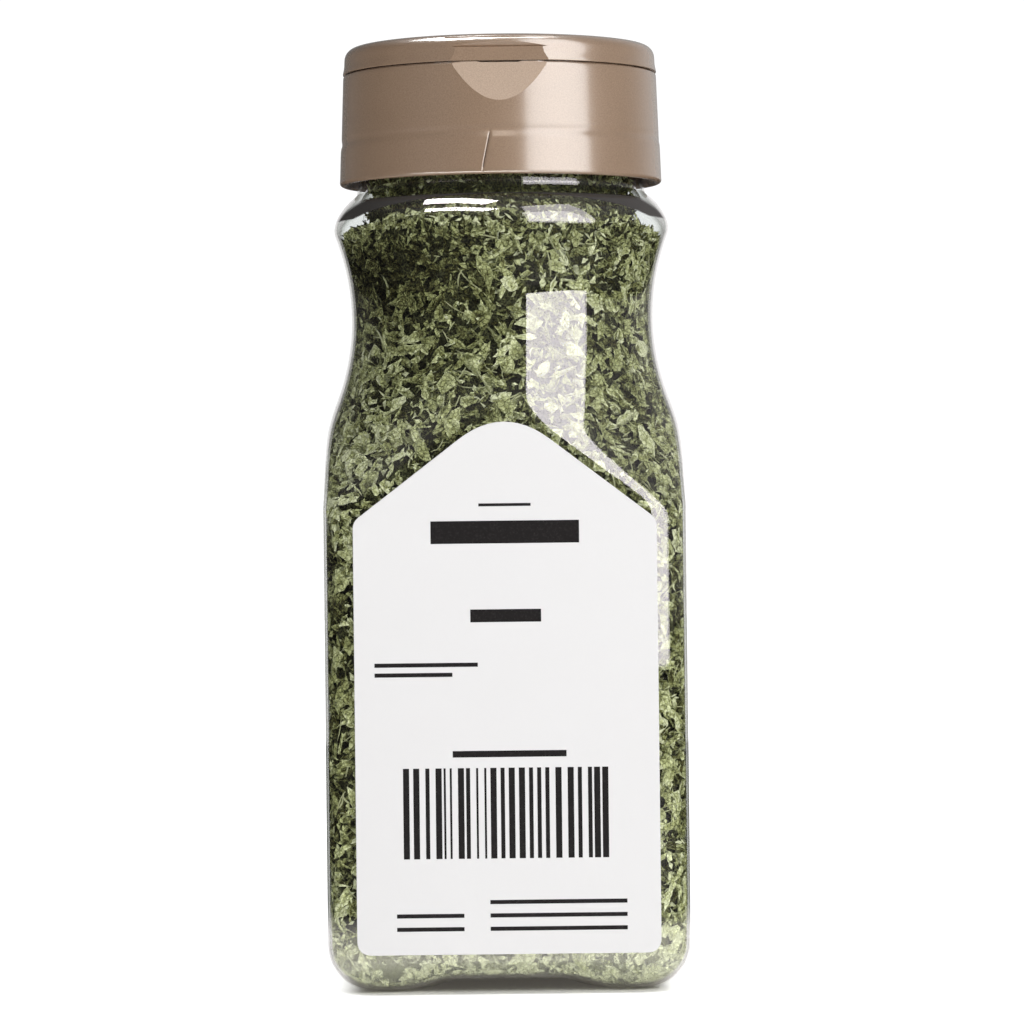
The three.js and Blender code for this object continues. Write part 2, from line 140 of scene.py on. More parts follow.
CLOSURE_BASE = 141.1
SKIRT_HEIGHT = 19.8
DECK_TOP = CLOSURE_BASE + SKIRT_HEIGHT
SKIRT_FOOT_RADIUS = 28.65
SKIRT_TOP_RADIUS = 27.95
SKIRT_BORE = 26.9
DECK_THICKNESS = 1.25
BOSS_OUTER = 24.8
BOSS_INNER = 23.8
BOSS_HEIGHT = 1.5
SIFTER_HOLES = 6
SIFTER_CIRCLE = 10.5
SIFTER_RADIUS = 2.5
LID_GAP = 0.3
LID_HEIGHT = 4.8
LID_RADIUS = 27.75
LID_LIP_RADIUS = 27.98
LID_SKIN = 1.2
LID_ROUND = 2.1
PLUG_OUTER = 16.4
PLUG_INNER = 15.4
THUMB_HALF_WIDTH = 8.3
THUMB_DEPTH = 1.3
THUMB_RISE = 2.5
THUMB_OVERHANG = (2.2, 1.6)
SCOOP_DROP = 6.7
THREAD_LINE = 7.9  # height at the front of the faint line on the skirt over the thread's end
THREAD_LINE_RISE = 1.2  # in one turn
THREAD_LINE_DEPTH = 0.20
SKIRT_STEP = 0.10  # how far the skirt is set back below that line
WELD_X = -1.8  # where the weld line starts, and how far left it leans on its way down
WELD_LEAN = 1.3
WELD_DEPTH = 0.16
HINGE_FLAT = 26.9
HINGE_HALF_WIDTH = 7.5
HINGE_PAD = 0.6
HINGE_PAD_HEIGHT = 2.6
STRAP_HALF_HEIGHT = 1.45
STRAP_THICKNESS = 0.30
STRAP_GROOVE = 0.16  # how much thinner the strap is along the line where it bends

ROUND_STEPS = 240
FRONT = -math.pi / 2
SHARP_ANGLE = 30.0  # degrees, for edges left by a cut
CUT_REACH = 10.0  # how far a cutting shape goes past what it cuts
FLOOR_HALF_WIDTH = 4000.0
CAMERA_AIM = (1.34, 0.0, 83.0)
FLAT_FACE = 12.0  # faces larger than this many square millimetres are shaded flat

CRESCENT_FOOT = 134.6  # the painted dark reflection, a crescent of painted shade, on the outside of the shoulder
CRESCENT_TOP = 138.4


# ---- what a user can change -----------------------------------------------------------------------


def colour_setting(name, description, default):
    return bpy.props.FloatVectorProperty(
        name=name, description=description, subtype="COLOR", default=default, min=0.0, max=1.0
    )


def share_setting(name, description, default, most=1.0):
    return bpy.props.FloatProperty(
        name=name, description=description, subtype="FACTOR", default=default, min=0.0, max=most
    )


def length_setting(name, description, default, least, most):
    return bpy.props.FloatProperty(
        name=name,
        description=description,
        subtype="DISTANCE",
        unit="LENGTH",
        default=default,
        min=least,
        max=most,
    )


def count_setting(name, description, default, least, most):
    return bpy.props.IntProperty(
        name=name, description=description, default=default, min=least, max=most
    )


class SpiceJarPlastic(bpy.types.PropertyGroup):
    """The clear jar."""

    clear_tint: colour_setting(
        "Clear tint", "Colour of light that has passed through one wall", (0.97, 0.98, 0.975)
    )
    edge_tint: colour_setting(
        "Edge tint", "Colour of the wall where it is seen edge on", (0.62, 0.63, 0.61)
    )
    gloss: share_setting(
        "Gloss", "Share of light that one surface mirrors when seen straight on", 0.064
    )
    edge_gloss: share_setting(
        "Edge gloss", "What that share gains where the surface is seen edge on", 0.52, 0.9
    )


class SpiceJarFlakes(bpy.types.PropertyGroup):
    """The dried leaf inside."""

    dark: colour_setting("Dark leaf", "Colour of the darkest flakes", (0.080, 0.075, 0.022))
    middle: colour_setting("Leaf", "Colour of most flakes", (0.360, 0.375, 0.155))
    light: colour_setting("Light leaf", "Colour of the palest flakes", (0.680, 0.700, 0.380))
    flake_size: length_setting("Flake size", "Usual length of a flake", 0.0034, 0.001, 0.008)
    body_flakes: count_setting(
        "Flakes", "Number of whole flakes against the wall", 14800, 100, 15000
    )
    crumbs: count_setting("Crumbs", "Number of fine bits between the flakes", 20000, 0, 20000)
    seed: count_setting("Seed", "Start of the repeatable scatter", 31, 0, 9999)


class SpiceJarLabel(bpy.types.PropertyGroup):
    """The paper label and its plain print."""

    paper: colour_setting("Paper", "Colour of the label's paper", (0.94, 0.93, 0.93))
    ink: colour_setting("Ink", "Colour of the printed rules and blocks", (0.017, 0.015, 0.015))
    paper_thickness: length_setting(
        "Paper thickness", "Thickness of the label", 0.00018, 0.00005, 0.0005
    )


class SpiceJarClosure(bpy.types.PropertyGroup):
    """The screw cap, the flip lid and the ring between jar and cap."""

    bronze: colour_setting("Bronze", "Colour of the metallic plastic", (0.335, 0.226, 0.150))
    bronze_roughness: share_setting(
        "Bronze roughness", "How dull the metallic plastic is", 0.24
    )
    foam: colour_setting("Foam", "Colour of the sealing ring", (0.82, 0.82, 0.79))


class SpiceJarStage(bpy.types.PropertyGroup):
    """Floor, light and camera."""

    camera_distance: length_setting("Camera distance", "From the jar's axis", 0.87, 0.3, 5.0)
    camera_height: length_setting("Camera height", "Above the floor", 0.078, 0.0, 2.0)
    camera_roll: bpy.props.FloatProperty(
        name="Camera roll",
        description="Lean of the camera to its right",
        subtype="ANGLE",
        unit="ROTATION",
        default=math.radians(0.66),
        min=-0.2,
        max=0.2,
    )
    lens: bpy.props.FloatProperty(
        name="Lens", description="Focal length in millimetres", default=171.1, min=20.0, max=400.0
    )


# ---- materials ------------------------------------------------------------------------------------


class Shade:
    """A socket in a material. Arithmetic on it adds Math nodes, and node() adds any other node."""

    def __init__(self, tree, socket=None, material=None):
        self.tree = tree
        self.socket = socket
        self.material = material

    def node(self, kind, settings=None, inputs=None, output=0):
        """Adds a node of that type, with its settings first and then its sockets."""
        new = self.tree.nodes.new(kind)
        for name, value in (settings or {}).items():
            if name == "stops":
                while len(new.color_ramp.elements) < len(value):
                    new.color_ramp.elements.new(1.0)
                for element, (place, colour) in zip(new.color_ramp.elements, value):
                    element.position = place
                    element.color = (*colour, 1.0)
            else:
                setattr(new, name, value)
        for name, value in (inputs or {}).items():
            if isinstance(value, Shade):
                self.tree.links.new(value.socket, new.inputs[name])
            elif new.inputs[name].type == "RGBA":
                new.inputs[name].default_value = (*value, 1.0)
            else:
                new.inputs[name].default_value = value
        return Shade(self.tree, new.outputs[output] if new.outputs else None)

    def maths(self, operation, *values):
        return self.node("ShaderNodeMath", {"operation": operation}, dict(enumerate(values)))

    def __add__(self, other):
        return self.maths("ADD", self, other)

    __radd__ = __add__

    def __sub__(self, other):
        return self.maths("SUBTRACT", self, other)

    def __rsub__(self, other):
        return self.maths("SUBTRACT", other, self)

    def __mul__(self, other):
        return self.maths("MULTIPLY", self, other)

    __rmul__ = __mul__

    def eased(self, low, high):
        """0 below low, 1 above high and a soft step between."""
        places = {"Value": self, "From Min": low, "From Max": high}
        return self.node("ShaderNodeMapRange", {"interpolation_type": "SMOOTHSTEP"}, places)

    def mixed(self, zero, one):
        """One colour where this is 0 and another where it is 1."""
        settings = {"data_type": "RGBA"}
        return self.node("ShaderNodeMix", settings, {0: self, 6: zero, 7: one}, 2)

    def shaders(self, zero, one):
        """One shader where this is 0 and another where it is 1."""
        return self.node("ShaderNodeMixShader", None, {0: self, 1: zero, 2: one})

    def vector(self, operation, other=None, output="Vector"):
        """Vector maths on this and another vector."""
        inputs = {0: self} if other is None else {0: self, 1: other}
        return self.node("ShaderNodeVectorMath", {"operation": operation}, inputs, output)

    def part(self, axis):
        return self.node("ShaderNodeSeparateXYZ", None, {0: self}, axis)

    def noise(self, scale, detail=2.0, roughness=0.5):
        inputs = {"Vector": self, "Scale": scale, "Detail": detail, "Roughness": roughness}
        return self.node("ShaderNodeTexNoise", None, inputs)

    def bump(self, distance, strength=1.0):
        inputs = {"Height": self, "Distance": distance, "Strength": strength}
        return self.node("ShaderNodeBump", None, inputs)

    def principled(self, **inputs):
        named = {key.replace("_", " ").title().replace("Ior", "IOR"): v for key, v in inputs.items()}
        return self.node("ShaderNodeBsdfPrincipled", None, named)

    def finish(self, shader):
        self.node("ShaderNodeOutputMaterial", None, {"Surface": shader})
        return self.material


def scaled(colour, share):
    return tuple(min(1.0, share * part) for part in colour)


def new_material(name):
    """An empty board to build a material's nodes on, and places on the piece in metres."""
    material = bpy.data.materials.new(name)
    material.use_nodes = True
    material.node_tree.nodes.clear()
    board = Shade(material.node_tree, material=material)
    return board, board.node("ShaderNodeTexCoord", None, None, "Object")


def painted_shoulder_shade(board, facing, height):
    """Painted dark reflection on the outside of the shoulder: where it is seen so far aslant that what is
    behind is lost, a dark crescent stands in for the shade it mirrors.
    """
    inside, normal = (
        board.node("ShaderNodeNewGeometry", None, None, output)
        for output in ("Backfacing", "Normal")
    )
    outside = (1.0 - inside) * normal.part("Z").eased(0.0, 0.05)
    aslant = outside * (facing + 80.0 * (height - 0.1349)).eased(0.55, 0.60)
    band = aslant * (height - CRESCENT_FOOT * MM).eased(0.0, 0.0003)
    band = band * (CRESCENT_TOP * MM - height).eased(0.0, 0.0003)
    return band * (1.0 - (facing + 50.0 * (height - 0.137)).eased(0.70, 0.86))


def clear_plastic(settings):
    """Clear moulded plastic: mirrors more towards grazing, greyer where it is seen edge on, with a painted
    dark reflection on the shoulder and a painted pale glow of the floor low down.
    """
    board, place = new_material("clear_plastic")
    facing = board.node("ShaderNodeLayerWeight", None, {"Blend": 0.5}, "Facing")
    height = place.part("Z")
    smooth = place.noise(55.0, 1.0).bump(0.00035, 0.35)
    mirror = board.principled(
        base_color=(0.98, 0.91, 0.94), metallic=1.0, roughness=0.025, normal=smooth
    )
    clear, edge = (
        board.node("ShaderNodeBsdfTransparent", None, {"Color": tint[:]})
        for tint in (settings.clear_tint, settings.edge_tint)
    )
    through = facing.eased(0.66, 0.86).shaders(clear, edge)
    # a dark dull surface mixed in on the shoulder: painted dark reflection
    dark = board.principled(base_color=(0.062, 0.058, 0.054), roughness=0.6, specular_ior_level=0.0)
    through = painted_shoulder_shade(board, facing, height).shaders(through, dark)
    # painted light: a pale dull surface mixed in low on the jar, standing in for the white floor seen
    # through the curved heel
    painted_floor_glow = board.principled(base_color=(0.84, 0.86, 0.72), roughness=0.5, normal=smooth)
    painted_glow_share = 0.12 * (1.0 - height.eased(0.0035, 0.0085))
    through = painted_glow_share.shaders(through, painted_floor_glow)
    rim = facing + 0.12 * (1.0 - height.eased(0.009, 0.017))
    share = settings.gloss + settings.edge_gloss * rim.eased(0.74, 0.97)
    return board.finish(share.shaders(through, mirror))


def dried_leaf(settings):
    """Dried leaf: a tone for each flake, blotches over it, painted shade along its creases, and a wrinkled
    surface.
    """
    board, place = new_material("dried_leaf")
    tone = board.node("ShaderNodeAttribute", {"attribute_name": "tone"}, None, "Fac")
    blotch = place.noise(800.0, 3.0, 0.6)
    vein = place.noise(3000.0, 2.0, 0.6)
    speck = place.noise(6500.0, 1.0)
    cells = board.node(
        "ShaderNodeTexVoronoi", {"feature": "DISTANCE_TO_EDGE"}, {"Vector": place, "Scale": 1200.0}
    )
    # cell edges: creases in the bump, and painted shade along them in the colour
    crease_and_shade = 1.0 - cells.eased(0.0, 0.12)
    mixed = tone + 0.35 * (blotch - 0.5) + 0.12 * (vein.eased(0.36, 0.64) - 0.5)
    mixed = mixed + 0.12 * (speck.eased(0.38, 0.62) - 0.5) - 0.2 * crease_and_shade
    stops = (
        (0.0, scaled(settings.dark, 0.3)),
        (0.22, settings.dark[:]),
        (0.52, settings.middle[:]),
        (0.86, settings.light[:]),
        (1.0, (0.84, 0.85, 0.56)),
    )
    leaf = board.principled(
        base_color=board.node("ShaderNodeValToRGB", {"stops": stops}, {"Fac": mixed}),
        roughness=0.66 + 0.2 * vein,
        specular_ior_level=0.16,
        normal=(blotch + 0.6 * vein - 0.4 * crease_and_shade).bump(0.0005),
    )
    return board.finish(leaf)


def leaf_core(settings):
    """The close-packed leaf behind the flakes that can be seen whole, darker than any flake as painted shade
    in the gaps between them and pale at the base as painted light.
    """
    board, place = new_material("leaf_core")
    grain = place.noise(2600.0, 3.0, 0.7)
    patch = place.noise(260.0)
    shade = grain.eased(0.38, 0.64) * patch.eased(0.2, 0.6)
    # painted shade: darker than the darkest leaf where the core shows between flakes
    colour = shade.mixed(scaled(settings.dark, 0.35), scaled(settings.middle, 0.8))
    # painted light: the palest leaf colour at the base
    colour = place.part("Z").eased(0.006, 0.013).mixed(settings.light[:], colour)
    rough = grain.bump(0.0012)
    return board.finish(board.principled(base_color=colour, roughness=0.9, normal=rough))


def pale_stalk():
    """Dry stalk: straw green with long streaks."""
    board, place = new_material("pale_stalk")
    streak = place.noise(1400.0, 3.0, 0.6)
    colour = streak.mixed((0.30, 0.33, 0.15), (0.62, 0.60, 0.36))
    ridge = streak.bump(0.00012, 0.6)
    return board.finish(board.principled(base_color=colour, roughness=0.6, normal=ridge))


def label_paper(settings):
    """Smooth white label paper with a faint fibre."""
    board, place = new_material("label_paper")
    fibre = place.noise(3200.0, 3.0, 0.6)
    paper = board.principled(
        base_color=place.noise(60.0).mixed(settings.paper[:], scaled(settings.paper, 0.985)),
        roughness=0.5 + 0.12 * fibre,
        specular_ior_level=0.3,
        normal=fibre.bump(0.00002, 0.5),
    )
    return board.finish(paper)


def printing_ink(settings):
    """Dense ink with the paper's fibre in it."""
    board, place = new_material("printing_ink")
    fibre = place.noise(3200.0, 3.0, 0.6)
    faded = tuple(2.2 * part + 0.004 for part in settings.ink)
    ink = board.principled(
        base_color=fibre.eased(0.45, 0.9).mixed(settings.ink[:], faded),
        roughness=0.45,
        specular_ior_level=0.1,
        normal=fibre.bump(0.00002, 0.5),
    )
    return board.finish(ink)


def bronze_plastic(settings):
    """Metallic plastic: fine bright flake in the colour, faint flow marks, satin gloss."""
    board, place = new_material("bronze_plastic")
    sparkle = place.noise(5200.0, 2.0, 0.7)
    flow = place.noise(120.0, 3.0, 0.55)
    mask = 0.7 * sparkle.eased(0.3, 0.7) + 0.3 * flow
    metal = board.principled(
        base_color=mask.mixed(scaled(settings.bronze, 0.86), scaled(settings.bronze, 1.16)),
        roughness=settings.bronze_roughness - 0.03 + 0.06 * flow,
        specular_ior_level=0.85,
        coat_weight=0.85,
        coat_roughness=0.14,
        normal=sparkle.bump(0.00002, 0.35),
    )
    return board.finish(metal)


def seal_foam(settings):
    """Closed-cell foam: small pores in an off-white skin, darker at each pore's middle as painted shade."""
    board, place = new_material("seal_foam")
    cells = board.node("ShaderNodeTexVoronoi", None, {"Vector": place, "Scale": 2400.0})
    # darker at each pore's middle: painted shade in the pores
    colour = cells.eased(0.0, 0.7).mixed(scaled(settings.foam, 0.8), settings.foam[:])
    pores = cells.bump(0.0001, 0.5)
    return board.finish(board.principled(base_color=colour, roughness=0.85, normal=pores))


def studio_white():
    """Seamless white paper that glows white round the jar, with a painted contact shadow under and just
    round the jar's foot, a brighter painted glow for what mirrors it near the jar, and painted dark shade
    further off for what mirrors it.
    """
    board, place = new_material("studio_white")
    colour = place.noise(900.0).mixed((0.94, 0.94, 0.94), (0.97, 0.97, 0.97))
    beyond = place.vector("ABSOLUTE").vector("SUBTRACT", (0.022, 0.026, 1.0))
    gap = beyond.vector("MAXIMUM", (0.0, 0.0, 0.0)).vector("LENGTH", output="Value")
    mirrored, seen = (
        board.node("ShaderNodeLightPath", None, None, output)
        for output in ("Is Glossy Ray", "Is Camera Ray")
    )
    # painted contact shadow: almost no glow close round the foot; painted glow beyond, more for what mirrors
    # it and most for the camera
    lit = 0.038 + (0.39 + 0.55 * mirrored) * gap.eased(0.004, 0.011)
    lit = lit + 0.58 * seen * gap.eased(0.003, 0.008)
    white = board.principled(
        base_color=colour,
        roughness=0.9,
        specular_ior_level=0.1,
        emission_color=lit.mixed((0.006, 0.002, 0.0), (1.0, 1.0, 1.0)),
        emission_strength=1.0,
    )
    # painted dark shade that what mirrors the floor sees further off
    shade = board.principled(base_color=(0.03, 0.03, 0.03), roughness=0.9)
    hidden = mirrored * place.vector("LENGTH", output="Value").eased(0.09, 0.20)
    return board.finish(hidden.shaders(white, shade))


# ---- mesh helpers ---------------------------------------------------------------------------------


def new_object(name, points, faces):
    """A new object from points in millimetres."""
    mesh = bpy.data.meshes.new(name)
    mesh.from_pydata([tuple(point) for point in np.asarray(points) * MM], [], faces)
    shape = bpy.data.objects.new(name, mesh)
    bpy.context.scene.collection.objects.link(shape)
    return shape


def mesh_piece(name, points, faces, material, body, smooth=True):
    """A new piece that rides on a body of the frame."""
    piece = new_object(name, points, faces)
    piece.data.validate()
    piece.data.polygons.foreach_set("use_smooth", [smooth] * len(piece.data.polygons))
    piece.data.materials.append(material)
    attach(piece, body)
    return piece


def carve(piece, operation, points, faces):
    """Joins a closed shape to a piece or cuts it away, and shades the result smooth."""
    tool = new_object("cutter", points, faces)
    modifier = piece.modifiers.new("carve", "BOOLEAN")
    modifier.operation = operation
    modifier.object = tool
    modifier.solver = "EXACT"
    bpy.context.view_layer.update()
    shaped = piece.evaluated_get(bpy.context.evaluated_depsgraph_get())
    mesh = bpy.data.meshes.new_from_object(shaped)
    piece.modifiers.clear()
    piece.data = mesh
    mesh.polygons.foreach_set("use_smooth", [True] * len(mesh.polygons))
    mesh.set_sharp_from_angle(angle=math.radians(SHARP_ANGLE))
    cutter = tool.data
    bpy.data.objects.remove(tool)
    bpy.data.meshes.remove(cutter)


def flatten_cuts(piece):
    """Shades a piece's large flat faces as flat, whatever meets them."""
    faces = piece.data.polygons
    faces.foreach_set("use_smooth", [face.area < FLAT_FACE * MM**2 for face in faces])


def grid_faces(rows, count):
    """Quads between level rings of points, each ring once round, outside out from bottom to top."""
    faces = []
    for row in range(rows - 1):
        for step in range(count):
            after = (step + 1) % count
            low, high = row * count, (row + 1) * count
            faces.append((low + step, low + after, high + after, high + step))
    return faces


def closed_skin(rings, bottom, top):
    """Points and faces of a closed skin over rings, with a pole at each end."""
    count = len(rings[0])
    points = np.vstack([np.vstack(rings), [bottom], [top]])
    faces = grid_faces(len(rings), count)
    last = (len(rings) - 1) * count
    south, north = len(points) - 2, len(points) - 1
    for step in range(count):
        after = (step + 1) % count
        faces.append((south, after, step))
        faces.append((last + step, last + after, north))
    return points, faces


def prism(*loops):
    """A stack of like loops, each counter-clockwise seen from the last, closed at both ends."""
    count = len(loops[0])
    last = (len(loops) - 1) * count
    faces = [tuple(reversed(range(count))), tuple(range(last, last + count))]
    return np.vstack(loops), faces + grid_faces(len(loops), count)


def box_shape(width, depth, height, middle):
    x, y, z = middle
    corners = [(-1, -1), (1, -1), (1, 1), (-1, 1)]
    return prism(
        *(
            [(x + i * width / 2, y + j * depth / 2, z + k * height / 2) for i, j in corners]
            for k in (-1, 1)
        )
    )


def prism_along_x(outline, half_width):
    """A prism along X from (y, z) points, counter-clockwise with Y to the right."""
    return prism(*([(side * half_width, y, z) for y, z in outline] for side in (-1, 1)))


# ---- the jar's surface ----------------------------------------------------------------------------


def jar_directions():
    """Angles once round, closer together at the square body's corners."""
    octant = np.concatenate([np.linspace(0, 33, 15)[:-1], np.linspace(33, 45, 13)])
    quarter = np.concatenate([octant, 90 - octant[::-1][1:-1]])
    return np.radians(np.concatenate([quarter + turn for turn in (0, 90, 180, 270)]))


def soft_min(a, b, blend):
    share = np.clip(0.5 + 0.5 * (b - a) / blend, 0, 1)
    return b + (a - b) * share - blend * share * (1 - share)


def square_radius(angles, half_width, corner):
    """Distance from the axis to a rounded square, in each direction."""
    across, along = np.abs(np.cos(angles)), np.abs(np.sin(angles))
    longer, shorter = np.maximum(across, along), np.minimum(across, along)
    centre = half_width - corner
    aside = centre * (longer - shorter)
    cornered = centre * (longer + shorter) + np.sqrt(np.maximum(corner**2 - aside**2, 0))
    return np.where(shorter / longer <= centre / half_width, half_width / longer, cornered)


def round_radius(height):
    flare = FLARE_BELOW if height < WAIST_HEIGHT else FLARE_ABOVE
    return WAIST_RADIUS + flare * (height - WAIST_HEIGHT) ** 2


def ring_of(radii, heights, angles):
    heights = np.broadcast_to(heights, angles.shape)
    return np.stack([radii * np.cos(angles), radii * np.sin(angles), heights], axis=1)


def wall_ring(height, inset, angles):
    flat = square_radius(angles, JAR_HALF_WIDTH - inset, max(JAR_CORNER - inset, 1.0))
    radii = soft_min(flat, round_radius(height) - inset, CREASE_BLEND)
    return ring_of(radii, height, angles)


def arch_at(angles):
    """How far the base is lifted in each direction: nothing at the corners, most mid-wall."""
    quarter = math.pi / 2
    from_wall = np.degrees(np.abs(angles - quarter * np.round(angles / quarter)))
    share = np.clip((from_wall - ARCH_FLAT) / (ARCH_END - ARCH_FLAT), 0, 1)
    return ARCH_HEIGHT * (1 - share * share * (3 - 2 * share))


def base_ring(inset, height, share, angles, extra=0.0):
    half_width = JAR_HALF_WIDTH - inset - extra
    past = max(0.0, inset - HEEL_RADIUS)
    corner = max(JAR_CORNER - 0.5 * inset - extra, 3.0) + 0.7 * past
    radii = square_radius(angles, half_width, min(corner, half_width))
    return ring_of(radii, height + share * arch_at(angles), angles)


def heel_rings(turns, wall, angles):
    rings = []
    for turn in np.radians(turns):
        inset = (HEEL_RADIUS - wall) * (1 - math.sin(turn))
        height = wall + (HEEL_RADIUS - wall) * (1 - math.cos(turn))
        rings.append(base_ring(inset, height, math.cos(turn) ** 2, angles, wall))
    return rings


def shoulder_at(share):
    ends = ((round_radius(SHOULDER_START), SHOULDER_START),)
    ends += SHOULDER_PULLS + ((NECK_FOOT_RADIUS + NECK_FILLET, NECK_FOOT - NECK_FILLET),)
    a, b, c, d = (np.array(end) for end in ends)
    rest = 1 - share
    return rest**3 * a + 3 * rest**2 * share * b + 3 * rest * share**2 * c + share**3 * d


def shoulder_rings(shares, inset, angles):
    rings = []
    for share in shares:
        radius, height = shoulder_at(share)
        own = inset + (SHOULDER_EXTRA * share if inset else 0.0)
        rings.append(ring_of(radius - own * (1 - 0.3 * share), height - own * share, angles))
    return rings


def wall_levels():
    plain = np.linspace(HEEL_RADIUS + 6, SQUARE_TOP, 12)
    shaped = np.arange(SQUARE_TOP + 1.0, SHOULDER_START - 0.5, 1.0)
    return np.concatenate([plain, shaped])


def outer_rings(angles):
    """Outside of the jar from the hollow of the base up to the neck's rim."""
    rings = [base_ring(23, 3.2, 0, angles), base_ring(19.5, 2.4, 0.1, angles)]
    rings += [base_ring(16, 1.5, 0.3, angles), base_ring(13.5, 0.45, 0.7, angles)]
    rings += [base_ring(HEEL_RADIUS + FOOT_WIDTH, 0, 1, angles)]
    rings += heel_rings(np.linspace(0, 90, 13), 0, angles)
    rings += [wall_ring(height, 0, angles) for height in wall_levels()]
    rings += shoulder_rings(np.linspace(0, 1, 22), 0, angles)
    band = [(NECK_FOOT_RADIUS + 0.08, NECK_FOOT - 0.05), (NECK_FOOT_RADIUS, NECK_FOOT + 0.35)]
    band += [(NECK_FOOT_RADIUS - 0.05, NECK_FOOT + 1.2), (NECK_RADIUS + 0.08, NECK_FOOT + 2.0)]
    band += [(NECK_RADIUS, NECK_FOOT + 2.6), (NECK_RADIUS, NECK_TOP - RIM_ROUND)]
    band += [(NECK_RADIUS - 0.15, NECK_TOP - 0.15), (NECK_RADIUS - RIM_ROUND, NECK_TOP)]
    band += [(NECK_BORE + RIM_ROUND, NECK_TOP), (NECK_BORE + 0.15, NECK_TOP - 0.15)]
    band += [(NECK_BORE, NECK_TOP - RIM_ROUND)]
    return rings + [ring_of(radius, height, angles) for radius, height in band]


def cavity_rings(angles, gap=0.0):
    """Inside of the jar from the neck's bore down to the floor."""
    inset = JAR_WALL + gap
    levels = wall_levels()[::-1]
    neck = (CAVITY_TOP, 146.0, 141.5, 140.2)
    rings = [ring_of(NECK_BORE - gap, height, angles) for height in neck]
    rings += shoulder_rings(np.linspace(0.88, 0.08, 12), inset, angles)
    rings += [wall_ring(height, inset, angles) for height in levels]
    rings += heel_rings(np.linspace(90, 0, 10), inset, angles)
    floor = [(11.5, 1.15, 0.95), (14.5, 1.9, 0.6), (17, 3.1, 0.3), (21, 4.1, 0.1), (25.5, 4.65, 0.0)]
    for edge, height, share in floor:
        rings.append(base_ring(edge, height + gap, share, angles))
    return rings


def thread_ridge(wall_radius, crest_radius, start):
    """A ridge that climbs round Z and fades at both ends, as points and faces."""
    steps = round(THREAD_TURNS * THREAD_STEPS)
    rise = math.copysign(1.0, crest_radius - wall_radius)
    points = []
    for step in range(steps + 1):
        angle = 2 * math.pi * step / THREAD_STEPS
        middle = start + THREAD_PITCH * step / THREAD_STEPS
        fade = min(1.0, min(step, steps - step) / THREAD_FADE_STEPS)
        root = wall_radius - 0.35 * rise
        crest = wall_radius - 0.2 * rise + fade * (crest_radius - wall_radius + 0.2 * rise)
        outline = ((root, -THREAD_ROOT_HALF), (crest, -THREAD_CREST_HALF))
        outline += ((crest, THREAD_CREST_HALF), (root, THREAD_ROOT_HALF))
        for radius, offset in outline:
            points.append((radius * math.cos(angle), radius * math.sin(angle), middle + offset))
    faces = [(0, 1, 2, 3), tuple(4 * steps + side for side in (3, 2, 1, 0))]
    for step in range(steps):
        for side in range(4):
            a, b = 4 * step + side, 4 * step + (side + 1) % 4
            faces.append((a, a + 4, b + 4, b))
    if rise < 0:
        faces = [tuple(reversed(face)) for face in faces]
    return points, faces


# ---- flakes ---------------------------------------------------------------------------------------


def flake_faces():
    """Triangles of one closed flake: its edge, then the middle and web of each side."""
    faces = []
    for side in (0, 1):
        centre = RIM_POINTS + side * (WEB_POINTS + 1)
        web = [centre + 1 + step for step in range(WEB_POINTS)]
        found = []
        for step in range(WEB_POINTS):
            after = (step + 1) % WEB_POINTS
            one, two, three = ((2 * step + k) % RIM_POINTS for k in (0, 1, 2))
            found += [(centre, web[step], web[after]), (web[step], one, two)]
            found += [(web[step], two, web[after]), (two, three, web[after])]
        faces += found if side == 0 else [tuple(reversed(face)) for face in found]
    return np.array(faces)


def flake_shapes(count, scatter):
    """Crumpled, torn leaf scraps of unit length: points of each, with the side each is on."""
    inner = np.arange(WEB_POINTS) * 2 * math.pi / WEB_POINTS
    around = np.arange(RIM_POINTS) * 2 * math.pi / RIM_POINTS
    around = around + scatter.uniform(-0.24, 0.24, (count, RIM_POINTS))
    torn = np.clip(scatter.normal(0.86, 0.2, (count, RIM_POINTS)), 0.4, 1.35)
    lobes = scatter.integers(1, 4, (count, 1))
    torn *= 1 + 0.2 * np.sin(around * lobes + scatter.uniform(0, 6.3, (count, 1)))
    slim = np.clip(scatter.normal(0.42, 0.17, (count, 1)), 0.14, 0.85)
    rim_u, rim_v = 0.5 * torn * np.cos(around), 0.5 * torn * np.sin(around) * slim
    web = 0.44 * scatter.uniform(0.75, 1.2, (count, WEB_POINTS))
    web_u, web_v = 0.5 * web * np.cos(inner), 0.5 * web * np.sin(inner) * slim
    middle = np.zeros((count, 1))
    u = np.hstack([rim_u, middle, web_u, middle, web_u])
    v = np.hstack([rim_v, middle, web_v, middle, web_v])
    fold = scatter.normal(0, 0.8, (count, 1))
    curl = scatter.normal(0, 1.15, (count, 1))
    twist = scatter.normal(0, 1.3, (count, 1))
    lean = scatter.uniform(0, math.pi, (count, 1))
    across = u * np.cos(lean) + v * np.sin(lean)
    w = np.clip(fold * np.abs(v) + curl * across**2 + twist * u * v, -0.38, 0.38)
    crumple = scatter.normal(0, 0.065, (count, SIDE_POINTS))
    w[:, :SIDE_POINTS] += crumple
    w[:, SIDE_POINTS:] += crumple[:, RIM_POINTS:]
    side = np.zeros(FLAKE_POINTS)
    side[RIM_POINTS:SIDE_POINTS] = 1
    side[SIDE_POINTS:] = -1
    return u, v, w, side


